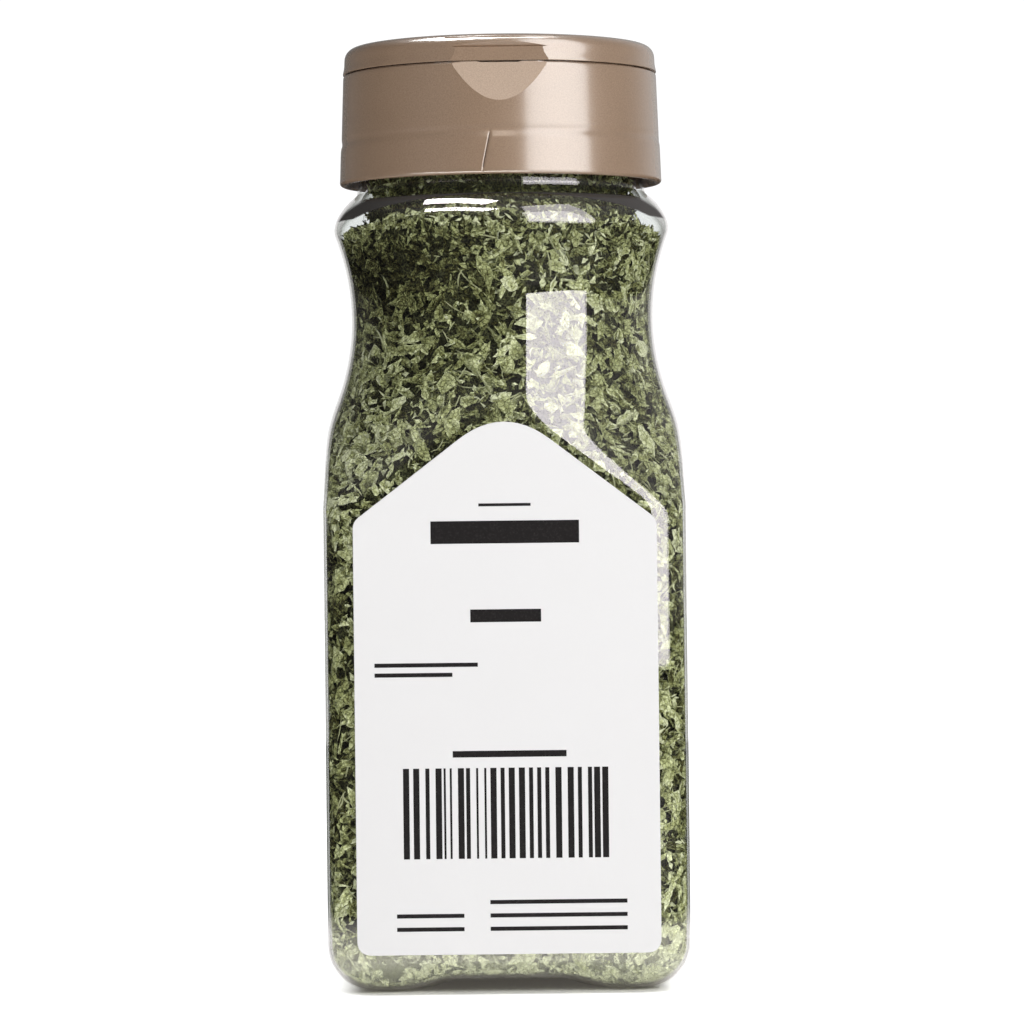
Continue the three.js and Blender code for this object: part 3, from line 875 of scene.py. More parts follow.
def surface_seeds(rings, count, scatter, weight):
    """Random places on a surface of rings: point, outward normal and an upward tangent of each."""
    grid = np.stack(rings)
    after = np.roll(grid, -1, axis=1)
    low, high = grid[:-1], grid[1:]
    low_after, high_after = after[:-1], after[1:]
    normal = np.cross(low_after - low, high - low)
    area = np.linalg.norm(normal, axis=2)
    middle = (low + high + low_after + high_after) / 4
    chance = (area * weight(middle)).ravel()
    picked = scatter.choice(chance.size, count, p=chance / chance.sum())
    row, column = np.unravel_index(picked, area.shape)
    s, t = scatter.uniform(0, 1, (2, count, 1))
    bottom = low[row, column] * (1 - s) + low_after[row, column] * s
    top = high[row, column] * (1 - s) + high_after[row, column] * s
    points = bottom * (1 - t) + top * t
    outward = normal[row, column] / np.maximum(area[row, column][:, None], 1e-9)
    facing = np.sum(outward * (points - JAR_MIDDLE), axis=1)
    outward[facing < 0] *= -1
    up = top - bottom
    up -= outward * np.sum(up * outward, axis=1, keepdims=True)
    up /= np.maximum(np.linalg.norm(up, axis=1, keepdims=True), 1e-9)
    return points, outward, up


def press_inside(points, margins, wall_tree):
    """Moves points that would be in or through the wall to just inside it."""
    for index, margin in enumerate(margins):
        place = Vector(points[index])
        near, normal, _, _ = wall_tree.find_nearest(place)
        if (place - near).dot(normal) > -margin:
            points[index] = near - normal * margin
    return points


def ramp(values, start, end):
    """0 at the start, 1 at the end, even between them and level past both."""
    return np.clip((values - start) / (end - start), 0, 1)


def hump(values, middle, spread):
    return np.exp(-(((values - middle) / spread) ** 2))


def fall_short(points):
    """How far the flakes stay from the jar's shoulder, which they don't quite fill."""
    reach = np.maximum(np.hypot(points[:, 0], points[:, 1]), 1e-6)
    right = (points[:, 0] > 0).astype(int)
    aside = np.abs(points[:, 0] / reach) ** np.take(VOID_POWER, right)
    start = VOID_START - np.take(VOID_DROP, right) * aside
    rise = np.clip(points[:, 2] - start, 0, VOID_DEPTH)
    return np.clip(np.take(VOID_SLOPE, right) * rise, 0, np.maximum(reach - COLUMN_RADIUS, 0))


def painted_shade_corner(points):
    """How far a place is in the corner of painted shade at the top left, from 0 to 1."""
    side = points[:, 0] / JAR_HALF_WIDTH
    return hump(points[:, 2], *PAINTED_SHADE_CORNER) * np.clip(0.1 - 1.7 * side, 0, 1)


def contrast(points):
    """How much the leaf's tones differ at a place, with less of it in the corner of painted shade."""
    return 1 - 0.6 * painted_shade_corner(points)


def painted_light_and_shade(points):
    """Painted light and shade in the leaf's tone at a place: painted shade in the corner at the top left, at
    the left and right sides and a little towards the shoulder; painted light lower down, on the left flank,
    on the shoulder's crown at the left and most at the base.
    """
    side = points[:, 0] / JAR_HALF_WIDTH
    height = points[:, 2]
    edge = ramp(-side, 0.82, 0.92) + 0.45 * ramp(side, 0.82, 0.92)
    edge *= ramp(height, 14, 26) * ramp(height, 85, 75)
    flank = hump(height, 92, 12) * ramp(-side, 0.25, 0.75)
    crown = hump(height, 135.5, 4) * ramp(-side, 0, 0.625)
    # painted shade first, then painted light
    darker = 0.43 * painted_shade_corner(points) + 0.02 * ramp(height, 112, 132) + 0.29 * edge + 0.02
    lighter = 0.01 * side + 0.13 * ramp(height, 95, 25) + 0.17 * flank + 0.36 * crown
    return lighter + 0.57 * ramp(height, 13, 6) - darker


def finer(height):
    """Share of full size of the flakes at a height: finer at the base and towards the neck."""
    return (1 - 0.62 * ramp(height, 124, 136)) * (1 - 0.15 * ramp(height, 30, 5))


def turned_at_random(outward, up, scatter):
    """Two directions along the wall at each place, square to each other."""
    spin = scatter.uniform(0, 2 * math.pi, (len(up), 1))
    first = np.cross(outward, up) * np.cos(spin) + up * np.sin(spin)
    return first, np.cross(outward, first)


def flake_mesh(seeds, lengths, depths, tilts, scatter, wall_tree):
    """All points of flakes laid against the wall at their seeds."""
    points, outward, up = seeds
    u, v, w, side = flake_shapes(len(points), scatter)
    u, v, w = (values * lengths[:, None] for values in (u, v, w))
    w = w + FLAKE_HALF_THICKNESS * side
    along, second = turned_at_random(outward, up, scatter)
    lean = tilts[:, None]
    first = along * np.cos(lean) + outward * np.sin(lean)
    third = outward * np.cos(lean) - along * np.sin(lean)
    centre = points - outward * depths[:, None]
    shape = (
        centre[:, None, :]
        + u[:, :, None] * first[:, None, :]
        + v[:, :, None] * second[:, None, :]
        + w[:, :, None] * third[:, None, :]
    )
    margins = np.tile(0.07 - 0.03 * side, len(points))
    return press_inside(shape.reshape(-1, 3), margins, wall_tree)


def merged_faces(pattern, points_each, count):
    """The same faces for every one of many like shapes."""
    shift = np.arange(count)[:, None, None] * points_each
    return (pattern[None] + shift).reshape(-1, pattern.shape[1]).tolist()


def give_tone(piece, tones):
    """Gives each point its place between the darkest and the palest leaf."""
    attribute = piece.data.attributes.new("tone", "FLOAT", "POINT")
    attribute.data.foreach_set("value", tones.ravel().astype(np.float32))


def cavity_tree():
    rings = cavity_rings(jar_directions())[::-1]
    points, faces = closed_skin(rings, (0, 0, FLOOR_TOP), (0, 0, CAVITY_TOP))
    return BVHTree.FromPolygons([tuple(point) for point in points], faces)


def leaf_rings(top):
    """Rings of the inside of the wall that lie below a height, from the bottom up."""
    rings = cavity_rings(jar_directions())[::-1]
    return [ring for ring in rings if ring[:, 2].max() < top]


def leaf_weight(places):
    """How likely a flake is at a place: less behind the label, more towards the neck."""
    x, y, height = (places[..., axis] for axis in range(3))
    hidden = (y < 2.5 - JAR_HALF_WIDTH) & (np.abs(x) < LABEL_HALF_WIDTH - 3)
    hidden &= (height > LABEL_BOTTOM + 3) & (height < LABEL_SHOULDER)
    return np.where(hidden, 0.25, 1.0) * (1 + 0.9 * ramp(height, 122, 136))


def crumb_weight(places):
    return 1.3 + 2.4 * ramp(places[..., 2], 112, 130)


# ---- the operators --------------------------------------------------------------------------------


class SPICEJAR_OT_jar(bpy.types.Operator):
    """Build the clear jar with its threaded neck"""

    bl_idname = "spicejar.jar"
    bl_label = "Clear jar"

    def execute(self, context):
        angles = jar_directions()
        rings = outer_rings(angles) + cavity_rings(angles)
        points, faces = closed_skin(rings, (0, 0, PUSH_UP), (0, 0, FLOOR_TOP))
        plastic = clear_plastic(context.scene.spicejar_plastic)
        jar = mesh_piece("clear_jar", points, faces, plastic, "jar")
        carve(jar, "UNION", *thread_ridge(NECK_RADIUS, THREAD_CREST, NECK_THREAD_START))
        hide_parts("jar")
        return {"FINISHED"}


class SPICEJAR_OT_parsley(bpy.types.Operator):
    """Build the dried parsley: packed core, flakes, crumbs and stalks"""

    bl_idname = "spicejar.parsley"
    bl_label = "Dried parsley"

    def execute(self, context):
        settings = context.scene.spicejar_flakes
        scatter = np.random.default_rng(settings.seed)
        tree = cavity_tree()
        self.core(settings, scatter)
        leaf = dried_leaf(settings)
        self.flakes(settings, scatter, tree, leaf)
        self.crumbs(settings.crumbs, scatter, tree, leaf)
        self.stalks(scatter, tree)
        return {"FINISHED"}

    def core(self, settings, scatter):
        """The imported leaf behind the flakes, lumpy all over."""
        angles = np.linspace(0, 2 * math.pi, CORE_STEPS, endpoint=False)
        rings = []
        for ring in cavity_rings(angles, CORE_GAP)[::-1]:
            inward = fall_short(ring)[:, None] + scatter.uniform(0.0, CORE_LUMPS, (len(ring), 1))
            length = np.maximum(np.hypot(ring[:, 0], ring[:, 1])[:, None], 1e-6)
            ring[:, :2] *= 1 - inward / length
            if ring[:, 2].max() < FILL_TOP - 1.7:
                rings.append(ring)
        for radius, below in ((22.3, 2.2), (20.5, 1.3), (9.0, 1.0)):
            lump = scatter.uniform(-0.4, 0.4, len(angles))
            rings.append(ring_of(radius, FILL_TOP - below + lump, angles))
        points, faces = closed_skin(rings, (0, 0, FLOOR_TOP + 1.7), (0, 0, CORE_TOP))
        packed = leaf_core(settings)
        core = mesh_piece("parsley_core", points, faces, packed, "jar")
        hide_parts("parsley_fill")

    def flakes(self, settings, scatter, tree, leaf):
        """Whole flakes in three pieces, from the base to the neck."""
        seeds = surface_seeds(leaf_rings(FILL_TOP), settings.body_flakes, scatter, leaf_weight)
        thirds = np.array_split(np.argsort(seeds[0][:, 2]), 3)
        usual = settings.flake_size / MM
        for name, chosen in zip(("flakes_low", "flakes_middle", "flakes_high"), thirds):
            own = tuple(values[chosen] for values in seeds)
            count = len(chosen)
            lengths = usual * finer(own[0][:, 2])
            lengths = lengths * np.clip(scatter.lognormal(0.0, 0.38, count), 0.42, 1.75)
            depths = FLAKE_NEAREST + scatter.beta(1.1, 1.9, count) * FLAKE_LAYER
            depths = depths + fall_short(own[0])
            tilts = scatter.normal(0, math.radians(FLAKE_TILT), count)
            wild = scatter.uniform(0, 1, count) < WILD_SHARE
            tilts[wild] = scatter.uniform(-WILD_TILT, WILD_TILT, wild.sum())
            points = flake_mesh(own, lengths, depths, tilts, scatter, tree)
            faces = merged_faces(flake_faces(), FLAKE_POINTS, count)
            piece = mesh_piece(name, points, faces, leaf, "jar")
            piece.data.set_sharp_from_angle(angle=math.radians(FLAKE_CREASE))
            share = contrast(own[0])
            tones = USUAL_TONE + scatter.normal(0, 0.16, count) * share
            # deeper flakes darker as painted shade, plus the painted light and shade of each place
            tones = tones - 0.30 * (depths - 0.8) * share + painted_light_and_shade(own[0])
            spread = scatter.normal(0, 0.09, (count, FLAKE_POINTS)) * share[:, None]
            # paler edges, partly the leaf's own paler edge and partly painted rim light; darker middles are
            # painted shade
            spread[:, :RIM_POINTS] += 0.15
            spread[:, [RIM_POINTS, SIDE_POINTS]] -= 0.12
            give_tone(piece, tones[:, None] + spread)

    def crumbs(self, count, scatter, tree, leaf):
        """Fine broken leaf, most of it near the shoulder and in the neck."""
        points, outward, up = surface_seeds(leaf_rings(FILL_TOP), count, scatter, crumb_weight)
        first, second = turned_at_random(outward, up, scatter)
        long = scatter.uniform(0.35, 1.15, (count, 1))
        wide = long * scatter.uniform(0.14, 0.6, (count, 1))
        depth = scatter.uniform(0.1, 2.1, (count, 1)) + fall_short(points)[:, None]
        bend = second * scatter.normal(0, 0.3, (count, 1))
        bend = (bend + outward * scatter.normal(0, 0.3, (count, 1))) * long
        tilt = outward * scatter.normal(0, 0.5, (count, 1)) * long
        flank = second * wide + outward * scatter.normal(0, 0.5, (count, 1)) * wide
        centre = points - outward * depth
        corners = [centre + first * long + tilt + bend, centre - first * long - tilt + bend]
        corners += [centre + flank, centre - flank]
        half = outward * FLAKE_HALF_THICKNESS
        corners += [centre + half, centre - half]
        shape = np.stack(corners, axis=1).reshape(-1, 3)
        shape = press_inside(shape, np.tile([0.1, 0.1, 0.1, 0.1, 0.06, 0.16], count), tree)
        pattern = [(0, 2, 4), (2, 1, 4), (1, 3, 4), (3, 0, 4)]
        pattern += [(2, 0, 5), (1, 2, 5), (3, 1, 5), (0, 3, 5)]
        faces = merged_faces(np.array(pattern), len(corners), count)
        piece = mesh_piece("leaf_crumbs", shape, faces, leaf, "jar", smooth=False)
        tones = scatter.normal(0, 0.33, count) * contrast(points)
        # deeper crumbs darker as painted shade, plus the painted light and shade of each place
        tones += USUAL_TONE - 0.10 * (depth[:, 0] - 0.8) + painted_light_and_shade(points)
        give_tone(piece, np.repeat(tones, len(corners)))

    def stalks(self, scatter, tree):
        """Thin bits of stalk among the flakes."""
        seeds = surface_seeds(leaf_rings(STALKS_TOP), STALKS, scatter, lambda middle: 1.0)
        points, outward, up = seeds
        first, second = turned_at_random(outward, up, scatter)
        half = scatter.uniform(0.8, 2.9, (STALKS, 1))
        girth = scatter.uniform(0.09, 0.22, (STALKS, 1))
        bend = scatter.normal(0, 0.18, (STALKS, 1))
        centre = points - outward * scatter.uniform(0.35, 1.1, (STALKS, 1))
        corners = []
        for place in (-1.0, -0.33, 0.33, 1.0):
            spine = centre + first * half * place + second * bend * half * (place**2 - 0.4)
            size = girth * (1 - 0.35 * place**2)
            for turn in (0, math.pi / 2, math.pi, 3 * math.pi / 2):
                corners.append(spine + size * (second * math.cos(turn) + outward * math.sin(turn)))
        shape = np.stack(corners, axis=1).reshape(-1, 3)
        shape = press_inside(shape, np.tile([0.2, 0.1, 0.2, 0.4], 4 * STALKS), tree)
        pattern = grid_faces(4, 4) + [(3, 2, 1, 0), (12, 13, 14, 15)]
        faces = merged_faces(np.array(pattern), len(corners), STALKS)
        mesh_piece("leaf_stalks", shape, faces, pale_stalk(), "jar")


class SPICEJAR_OT_label(bpy.types.Operator):
    """Build the paper label and its plain print"""

    bl_idname = "spicejar.label"
    bl_label = "Label"

    def execute(self, context):
        settings = context.scene.spicejar_label
        thickness = settings.paper_thickness / MM
        back = -(JAR_HALF_WIDTH + LABEL_GAP)
        edge = np.array(self.outline())
        inward = edge.mean(axis=0) - edge
        drawn_in = edge + inward * LABEL_EDGE / np.linalg.norm(inward, axis=1)[:, None]
        layers = ((edge, back), (edge, back - 0.6 * thickness), (drawn_in, back - thickness))
        points, faces = prism(*([(x, y, z) for x, z in loop] for loop, y in layers))
        paper = label_paper(settings)
        label = mesh_piece("paper_label", points, faces, paper, "jar", smooth=False)
        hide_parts("label")
        self.print_blocks(settings, back - thickness)
        return {"FINISHED"}

    def outline(self):
        """The label's edge, counter-clockwise seen from the front, as (x, z)."""
        peak = LABEL_SHOULDER + LABEL_HALF_WIDTH * math.tan(math.radians(LABEL_SLOPE))
        half = LABEL_HALF_WIDTH
        corners = [(-half, LABEL_BOTTOM), (half, LABEL_BOTTOM), (half, LABEL_SHOULDER)]
        corners += [(0.0, peak), (-half, LABEL_SHOULDER)]
        corners = [Vector(corner) for corner in corners]
        result = []
        for index, corner in enumerate(corners):
            before = (corners[index - 1] - corner).normalized()
            after = (corners[(index + 1) % len(corners)] - corner).normalized()
            radius = LABEL_PEAK_RADIUS if index == 3 else LABEL_CORNER
            reach = radius / math.tan(before.angle(after) / 2)
            one, two = corner + before * reach, corner + after * reach
            for step in range(13):
                share = step / 12
                bend = (1 - share) ** 2 * one + 2 * share * (1 - share) * corner + share**2 * two
                result.append(tuple(bend))
        return result

    def print_blocks(self, settings, face):
        """Plain rules, blocks and an even bar pattern, as thin raised print."""
        blocks = [(0.0, 79.4, 25.6, 3.9), (0.0, 84.1, 9.0, 0.5), (0.0, 65.0, 12.2, 2.2)]
        blocks += [(-13.8, 56.6, 17.8, 0.7), (-16.0, 54.9, 13.4, 0.7)]
        blocks += [(0.4, 41.2, 19.6, 1.1)]
        blocks += [(-13.5, 13.4, 11.6, 0.7), (-13.5, 11.1, 11.6, 0.7)]
        blocks += [(8.6, 15.7, 23.6, 0.7), (8.6, 13.4, 23.6, 0.7), (8.6, 11.1, 23.6, 0.7)]
        bars = np.random.default_rng(7)
        left = -18.0
        while left < 17.6:
            width = float(bars.choice([0.35, 0.7, 1.05]))
            blocks.append((left + width / 2, 31.0, width, 15.6))
            left += width + float(bars.choice([0.35, 0.7, 0.7, 1.05]))
        points, faces = [], []
        for x, z, width, height in blocks:
            shape, sides = box_shape(width, INK_THICKNESS, height, (x, face - INK_RISE, z))
            faces += [tuple(corner + len(points) for corner in side) for side in sides]
            points += list(shape)
        ink = printing_ink(settings)
        mesh_piece("label_print", points, faces, ink, "jar", smooth=False)


def area_lamp(name, place, aim, size, power, gleam, pieces=(), roll=0.0, colour=(1.0, 1.0, 1.0)):
    """A lamp out of the camera's sight. It shows in gloss or lights what is dull, on all or some pieces."""
    light = bpy.data.lights.new(name, "AREA")
    light.shape = "RECTANGLE"
    light.size, light.size_y = size
    light.energy = power
    light.color = colour
    lamp = bpy.data.objects.new(name, light)
    lamp.location = place
    aimed = (Vector(aim) - Vector(place)).to_track_quat("-Z", "Y")
    rolled = Euler((0.0, 0.0, math.radians(roll))).to_quaternion()
    lamp.rotation_euler = (aimed @ rolled).to_euler()
    lamp.visible_camera = False
    lamp.visible_diffuse = not gleam
    lamp.visible_glossy = gleam
    bpy.context.scene.collection.objects.link(lamp)
    if pieces:
        shown = bpy.data.collections.new(name)
        for piece in pieces:
            shown.objects.link(bpy.data.objects[piece])
        lamp.light_linking.receiver_collection = shown


def closure_angles():
    """Angles once round, with close steps at the front where the plastic has a weld line."""
    coarse = np.linspace(0, 2 * math.pi, ROUND_STEPS, endpoint=False)
    fine = FRONT % (2 * math.pi) + np.radians(np.arange(-7.2, 0.61, 0.15))
    keep = [angle for angle in coarse if np.abs(fine - angle).min() > math.radians(0.4)]
    return np.sort(np.concatenate([keep, fine]))


def turned_piece(name, profile, material, body, foot):
    """A turned shape from (radius, height) points that start and end on the axis."""
    angles = closure_angles()
    rings = [ring_of(radius, height + foot, angles) for radius, height in profile[1:-1]]
    bottom, top = ((0, 0, profile[end][1] + foot) for end in (0, -1))
    points, faces = closed_skin(rings, bottom, top)
    return mesh_piece(name, points, faces, material, body)


def moulding_marks(piece):
    """Sinks the faint thread line and weld line into the skirt's outside."""
    points = np.zeros(len(piece.data.vertices) * 3)
    piece.data.vertices.foreach_get("co", points)
    points = points.reshape(-1, 3) / MM
    x, y, height = points.T - [[0], [0], [CLOSURE_BASE]]
    radius = np.hypot(x, y)
    turn = np.mod(np.arctan2(y, x), 2 * math.pi) / (2 * math.pi)
    line = THREAD_LINE + THREAD_LINE_RISE * (turn - 0.75)
    sink = THREAD_LINE_DEPTH * hump(height, line, 0.6)
    step = SKIRT_STEP / (1 + np.exp((height - line) / 0.35))
    off = x - (WELD_X - WELD_LEAN * ramp(height, 7.6, 1.1))
    weld = WELD_DEPTH * hump(off, 0, np.where(off < 0, 0.12, 0.3)) * (y < 0)
    weld *= ramp(height, 7.8, 7.2) * ramp(height, 0, 0.5)
    inward = np.where(radius > SKIRT_BORE + 0.9, sink - step + weld, 0.0)
    points[:, :2] *= (1 - inward / np.maximum(radius, 1e-6))[:, None]
    piece.data.vertices.foreach_set("co", (points * MM).ravel())


class SPICEJAR_OT_closure(bpy.types.Operator):
    """Build the screw cap, the flip lid and the strap that joins them"""

    bl_idname = "spicejar.closure"
    bl_label = "Cap and lid"

    def execute(self, context):
        settings = context.scene.spicejar_closure
        bronze = bronze_plastic(settings)
        self.cap(bronze)
        self.lid(bronze)
        self.strap(bronze)
        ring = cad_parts["sealing_ring"]
        ring.data.materials.clear()
        ring.data.materials.append(seal_foam(settings))
        return {"FINISHED"}

    def cap(self, bronze):
        deck = SKIRT_HEIGHT - DECK_THICKNESS
        slope = (SKIRT_TOP_RADIUS - SKIRT_FOOT_RADIUS) / SKIRT_HEIGHT
        skirt = [(SKIRT_FOOT_RADIUS + slope * z, z) for z in np.arange(1.15, 19.4, 0.45)]
        foot = [(26.9, 1.9), (27.4, 0.62), (27.65, 0.37), (27.95, 0.32), (28.2, 0.35)]
        foot += [(28.42, 0.46), (28.57, 0.64), (28.64, 0.88)]
        top = SKIRT_HEIGHT
        rim = [(SKIRT_TOP_RADIUS, 19.55), (27.88, 19.72), (27.7, top), (27.5, top)]
        rim += [(27.45, top + 0.16), (26.9, top + 0.16), (26.85, top)]
        boss = [(BOSS_OUTER, top), (BOSS_OUTER, top + BOSS_HEIGHT - 0.25)]
        boss += [(BOSS_OUTER - 0.08, top + BOSS_HEIGHT - 0.08)]
        boss += [(BOSS_OUTER - 0.25, top + BOSS_HEIGHT)]
        boss += [(BOSS_INNER, top + BOSS_HEIGHT), (BOSS_INNER, top)]
        profile = [(0.0, deck), (20.0, deck), (25.6, deck), (26.1, deck - 1.0)]
        profile += [(26.7, deck - 2.7)] + foot + skirt + rim + boss + [(18.0, top), (0.0, top)]
        cap = turned_piece("screw_cap", profile, bronze, "cap", CLOSURE_BASE)
        moulding_marks(cap)
        start = NECK_THREAD_START - THREAD_PITCH / 2
        carve(cap, "UNION", *thread_ridge(SKIRT_BORE, CAP_THREAD_CREST, start))
        carve(cap, "DIFFERENCE", *self.scoop())
        carve(cap, "DIFFERENCE", *self.skirt_weld())
        carve(cap, "DIFFERENCE", *self.hinge_cut(DECK_TOP))
        for hole in range(SIFTER_HOLES + 1):
            angle = 2 * math.pi * hole / SIFTER_HOLES
            reach = SIFTER_CIRCLE if hole < SIFTER_HOLES else 0.0
            carve(cap, "DIFFERENCE", *self.sifter_drill(reach, angle))
        carve(cap, "UNION", *self.hinge_pad(DECK_TOP - 0.15 - HINGE_PAD_HEIGHT))
        flatten_cuts(cap)
        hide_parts("cap")

    def scoop(self):
        """A sloped cut that leaves the skirt's front thinner towards the parting line."""
        face = SKIRT_TOP_RADIUS - THUMB_DEPTH
        slope = THUMB_DEPTH / SCOOP_DROP + (SKIRT_FOOT_RADIUS - SKIRT_TOP_RADIUS) / SKIRT_HEIGHT
        outside, bottom = -(face + CUT_REACH), DECK_TOP - CUT_REACH
        outline = [(outside, DECK_TOP + 1), (outside, bottom)]
        outline += [(-(face + slope * CUT_REACH), bottom), (-(face - slope), DECK_TOP + 1)]
        return prism_along_x(outline, 2 * THUMB_HALF_WIDTH)

    def skirt_weld(self):
        """The weld line below the thread line, as a thin slot that leans left as it goes down."""
        slope = (SKIRT_TOP_RADIUS - SKIRT_FOOT_RADIUS) / SKIRT_HEIGHT
        loops = []
        for x, height, half in ((-3.02, 1.5, 0.11), (WELD_X, 7.5, 0.08)):
            y = -math.sqrt((SKIRT_FOOT_RADIUS + slope * height) ** 2 - x**2)
            corners = ((-half, 0.5), (-half, -0.6), (half, -0.6), (half, 0.5))
            loops.append([(x + i, y + j, CLOSURE_BASE + height) for i, j in corners])
        return prism(*loops)

    def hinge_cut(self, middle):
        place = (0, HINGE_FLAT + CUT_REACH / 2, middle)
        return box_shape(2 * HINGE_HALF_WIDTH + 4, CUT_REACH, 8, place)

    def hinge_pad(self, foot):
        depth = HINGE_PAD + 0.2
        place = (0, HINGE_FLAT + HINGE_PAD - depth / 2, foot + HINGE_PAD_HEIGHT / 2)
        return box_shape(2 * HINGE_HALF_WIDTH, depth, HINGE_PAD_HEIGHT, place)

    def sifter_drill(self, reach, angle):
        x, y = reach * math.cos(angle), reach * math.sin(angle)
        turns = np.linspace(0, 2 * math.pi, 40, endpoint=False)
        heights = (DECK_TOP - 3.0, DECK_TOP + 3.0)
        rings = [ring_of(SIFTER_RADIUS, height, turns) + [x, y, 0] for height in heights]
        return closed_skin(rings, (x, y, heights[0]), (x, y, heights[1]))

    def lid(self, bronze):
        inside = LID_HEIGHT - LID_SKIN
        base = DECK_TOP + LID_GAP
        profile = [(0.0, inside), (PLUG_INNER, inside), (PLUG_INNER, 0.4), (PLUG_INNER + 0.2, 0.2)]
        profile += [(PLUG_OUTER - 0.2, 0.2), (PLUG_OUTER, 0.4), (PLUG_OUTER, inside)]
        profile += [(25.4, inside), (26.3, inside - 0.3), (LID_RADIUS - LID_SKIN, inside - 0.9)]
        profile += [(LID_RADIUS - LID_SKIN, 0.0), (LID_LIP_RADIUS - 0.1, 0.0)]
        profile += [(LID_LIP_RADIUS, 0.08), (LID_LIP_RADIUS, 0.3), (LID_RADIUS + 0.12, 0.8)]
        profile += [(LID_RADIUS, 1.5), (LID_RADIUS - 0.02, 1.9), (LID_RADIUS - 0.05, 2.6)]
        for turn in np.radians(np.arange(6, 91, 7)):
            radius = LID_RADIUS - LID_ROUND + (LID_ROUND - 0.06) * math.cos(turn)
            profile.append((radius, LID_HEIGHT - 0.05 - LID_ROUND * (1 - math.sin(turn))))
        profile += [(24.0, LID_HEIGHT - 0.04), (14.0, LID_HEIGHT), (0.0, LID_HEIGHT)]
        lid = turned_piece("flip_lid", profile, bronze, "lid", base)
        for backing in self.backings(base):
            carve(lid, "UNION", *backing)
        face = SKIRT_TOP_RADIUS - THUMB_DEPTH
        outward, upward = THUMB_OVERHANG
        ledge = base + THUMB_RISE
        outline = [(-face, base - 1), (-face, ledge - 0.12), (-(face - 0.25), ledge)]
        outline += [(-face, ledge + 0.12), (-(face + outward), ledge + upward)]
        outline += [(-(face + CUT_REACH), ledge + upward), (-(face + CUT_REACH), base - 1)]
        carve(lid, "DIFFERENCE", *prism_along_x(outline, 2 * THUMB_HALF_WIDTH))
        carve(lid, "DIFFERENCE", *self.hinge_cut(base))
        carve(lid, "UNION", *self.hinge_pad(base))
        flatten_cuts(lid)
        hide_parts("lid")

    def backings(self, base):
        """Segments inside the lid's wall that keep it whole behind its two flats."""
        radius = LID_RADIUS - 0.5
        fronts = (SKIRT_TOP_RADIUS - THUMB_DEPTH - 1.1, HINGE_FLAT - LID_SKIN)
        for front, side in zip(fronts, (-1, 1)):
            half = math.acos(front / radius)
            middle = side * math.pi / 2
            turns = np.linspace(middle - half, middle + half, 25)
            yield prism(*(ring_of(radius, base + rise, turns) for rise in (0, LID_HEIGHT - 0.6)))

    def strap(self, bronze):
        """The thin strap at the back, between the cap and the lid."""
        outer = HINGE_FLAT + HINGE_PAD
        seam = DECK_TOP + LID_GAP / 2
        widths = np.linspace(0.7 - HINGE_HALF_WIDTH, HINGE_HALF_WIDTH - 0.7, 13)
        loops = []
        for rise in np.linspace(-STRAP_HALF_HEIGHT, STRAP_HALF_HEIGHT, 25):
            back = outer + STRAP_THICKNESS - STRAP_GROOVE * hump(rise, 0, 0.5)
            loop = [(x, outer - 0.05, seam + rise) for x in widths]
            loops.append(loop + [(x, back, seam + rise) for x in widths[::-1]])
        strap = new_object("hinge_strap", *prism(*loops))
        strap.data.polygons.foreach_set("use_smooth", [True] * len(strap.data.polygons))
        strap.data.set_sharp_from_angle(angle=math.radians(35))
        strap.data.materials.append(bronze)
        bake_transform(strap)


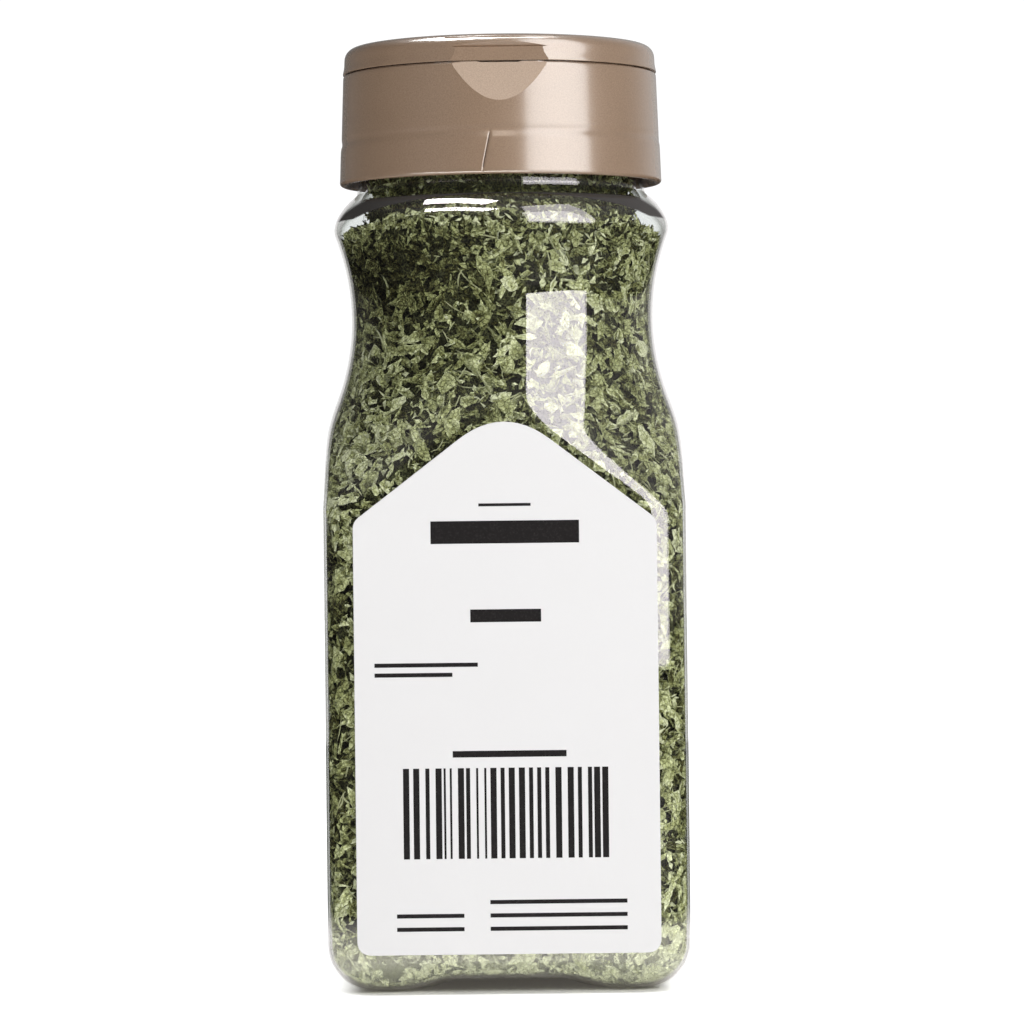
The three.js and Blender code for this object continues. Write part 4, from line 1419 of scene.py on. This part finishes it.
class SPICEJAR_OT_stage(bpy.types.Operator):
    """Set the floor, the soft lights and the camera"""

    bl_idname = "spicejar.stage"
    bl_label = "Stage"

    def execute(self, context):
        settings = context.scene.spicejar_stage
        self.floor()
        self.world(context.scene)
        self.lights()
        self.camera(context.scene, settings)
        context.scene.view_settings.view_transform = "Standard"
        return {"FINISHED"}

    def floor(self):
        half = FLOOR_HALF_WIDTH
        corners = [(-half, -half, 0), (half, -half, 0), (half, half, 0), (-half, half, 0)]
        floor = new_object("floor", corners, [(0, 1, 2, 3)])
        floor.location.z = -0.2 * MM
        floor.data.materials.append(studio_white())

    def world(self, scene):
        """White all round to the eye, and a darker room in front for what lights the jar."""
        world = bpy.data.worlds.new("studio")
        scene.world = world
        world.use_nodes = True
        world.node_tree.nodes.clear()
        board = Shade(world.node_tree)
        way = board.node("ShaderNodeTexCoord", None, None, "Generated")
        across, depth, height = (way.part(axis) for axis in "XYZ")
        front = 0.03 + 0.26 * height.eased(0.5, 0.9) + 0.16 * across.eased(-0.2, 0.8)
        room = front + (0.10 + 0.30 * across.eased(-0.5, 0.5)) * depth.eased(0.2, 0.8)
        eye = board.node("ShaderNodeLightPath", None, None, "Is Camera Ray")
        strength = room + eye * (1.06 - room)
        inputs = {"Color": (1.0, 1.0, 1.0), "Strength": strength}
        sky = board.node("ShaderNodeBackground", None, inputs)
        board.node("ShaderNodeOutputWorld", None, {"Surface": sky})

    def lights(self):
        """Lamps for every piece, then lamps that light or gleam on some pieces only."""
        closure = ("screw_cap", "flip_lid", "hinge_strap")
        leaf = ("flakes_low", "flakes_middle", "flakes_high", "leaf_crumbs", "leaf_stalks")
        jar = ("clear_jar",)
        middle = (0, 0, 0.08)
        turn = math.radians(42)
        key = (0.7 * math.sin(turn), -0.7 * math.cos(turn), 0.595)
        cool, warm = (0.99, 1.0, 1.0), (1.0, 0.88, 0.76)
        scoop, foot, heel = (0, 0, 0.158), (0, 0, 0.142), (0, -0.03, 0.006)
        for lamp in (
            ("key_softbox", key, (0, 0, 0.595), (0.62, 1.11), 11.0, True, (), 0.0, cool),
            ("key_spill", (0.55, -0.72, 0.55), middle, (0.36, 0.4), 4.6, False),
            ("left_fill", (-0.75, -0.65, 0.35), middle, (0.7, 0.8), 1.6, False),
            ("overhead", (-0.30, -0.10, 1.0), (-0.30, -0.10, 0.0), (0.48, 0.60), 22.0, True, closure + leaf),
            ("shoulder_bar", (-0.32, -0.21, 1.0), (-0.32, -0.21, 0.0), (0.62, 0.21), 10.0, True, jar, -38.0),
            ("scoop_gleam", (0.0, -0.91, 0.63), scoop, (0.34, 0.26), 0.8, True, closure, 0.0, warm),
            ("foot_gleam", (0.0, -0.17, 0.004), foot, (0.8, 0.08), 2.2, True, closure),
            ("rim_gleam", (0.12, -0.10, 1.1), (0.12, -0.10, 0.0), (0.5, 0.5), 9.0, True, closure),
            ("rim_panel", (0.0, 1.0, 0.08), middle, (0.86, 0.86), 2.3, True, jar),
            ("leaf_key", (0.14, -0.62, 0.78), (0, 0, 0.07), (0.22, 0.22), 3.4, False, leaf),
            ("heel_fill", (0.0, -0.11, 0.003), heel, (0.12, 0.01), 0.08, False, leaf),
        ):
            area_lamp(*lamp)

    def camera(self, scene, settings):
        data = bpy.data.cameras.new("camera")
        data.lens = settings.lens
        data.sensor_width = 36.0
        data.sensor_fit = "HORIZONTAL"
        data.clip_start, data.clip_end = 0.01, 20.0
        camera = bpy.data.objects.new("camera", data)
        place = Vector((0.0, -settings.camera_distance, settings.camera_height))
        aim = Vector(CAMERA_AIM) * MM
        upright = (aim - place).to_track_quat("-Z", "Y")
        roll = Euler((0.0, 0.0, -settings.camera_roll)).to_quaternion()
        camera.location = place
        camera.rotation_euler = (upright @ roll).to_euler()
        scene.collection.objects.link(camera)
        scene.camera = camera


# ---- the add-on -----------------------------------------------------------------------------------


class SPICEJAR_PT_panel(bpy.types.Panel):
    """The jar's pieces, in the 3D view's sidebar"""

    bl_label = "Spice jar"
    bl_idname = "SPICEJAR_PT_panel"
    bl_space_type = "VIEW_3D"
    bl_region_type = "UI"
    bl_category = "Spice jar"

    def draw(self, context):
        for group in GROUPS:
            settings = getattr(context.scene, group)
            for name in settings.bl_rna.properties.keys():
                if name not in ("rna_type", "name"):
                    self.layout.prop(settings, name)
        for operator in OPERATORS:
            self.layout.operator(operator.bl_idname)


OPERATORS = (
    SPICEJAR_OT_stage,
    SPICEJAR_OT_jar,
    SPICEJAR_OT_parsley,
    SPICEJAR_OT_label,
    SPICEJAR_OT_closure,
)
GROUPS = {
    "spicejar_plastic": SpiceJarPlastic,
    "spicejar_flakes": SpiceJarFlakes,
    "spicejar_label": SpiceJarLabel,
    "spicejar_closure": SpiceJarClosure,
    "spicejar_stage": SpiceJarStage,
}


def register():
    for kind in (*GROUPS.values(), *OPERATORS, SPICEJAR_PT_panel):
        bpy.utils.register_class(kind)
    for name, kind in GROUPS.items():
        setattr(bpy.types.Scene, name, bpy.props.PointerProperty(type=kind))


def unregister():
    for name in GROUPS:
        delattr(bpy.types.Scene, name)
    for kind in (SPICEJAR_PT_panel, *reversed(OPERATORS), *reversed(GROUPS.values())):
        bpy.utils.unregister_class(kind)


def plain(box):
    return [[float(value) for value in corner] for corner in box]


def main():
    """Builds the whole jar round the frame."""
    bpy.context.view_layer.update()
    register()
    bpy.ops.spicejar.jar()
    bpy.ops.spicejar.parsley()
    bpy.ops.spicejar.label()
    bpy.ops.spicejar.closure()
    bpy.ops.spicejar.stage()


if __name__ == "__main__":
    main()
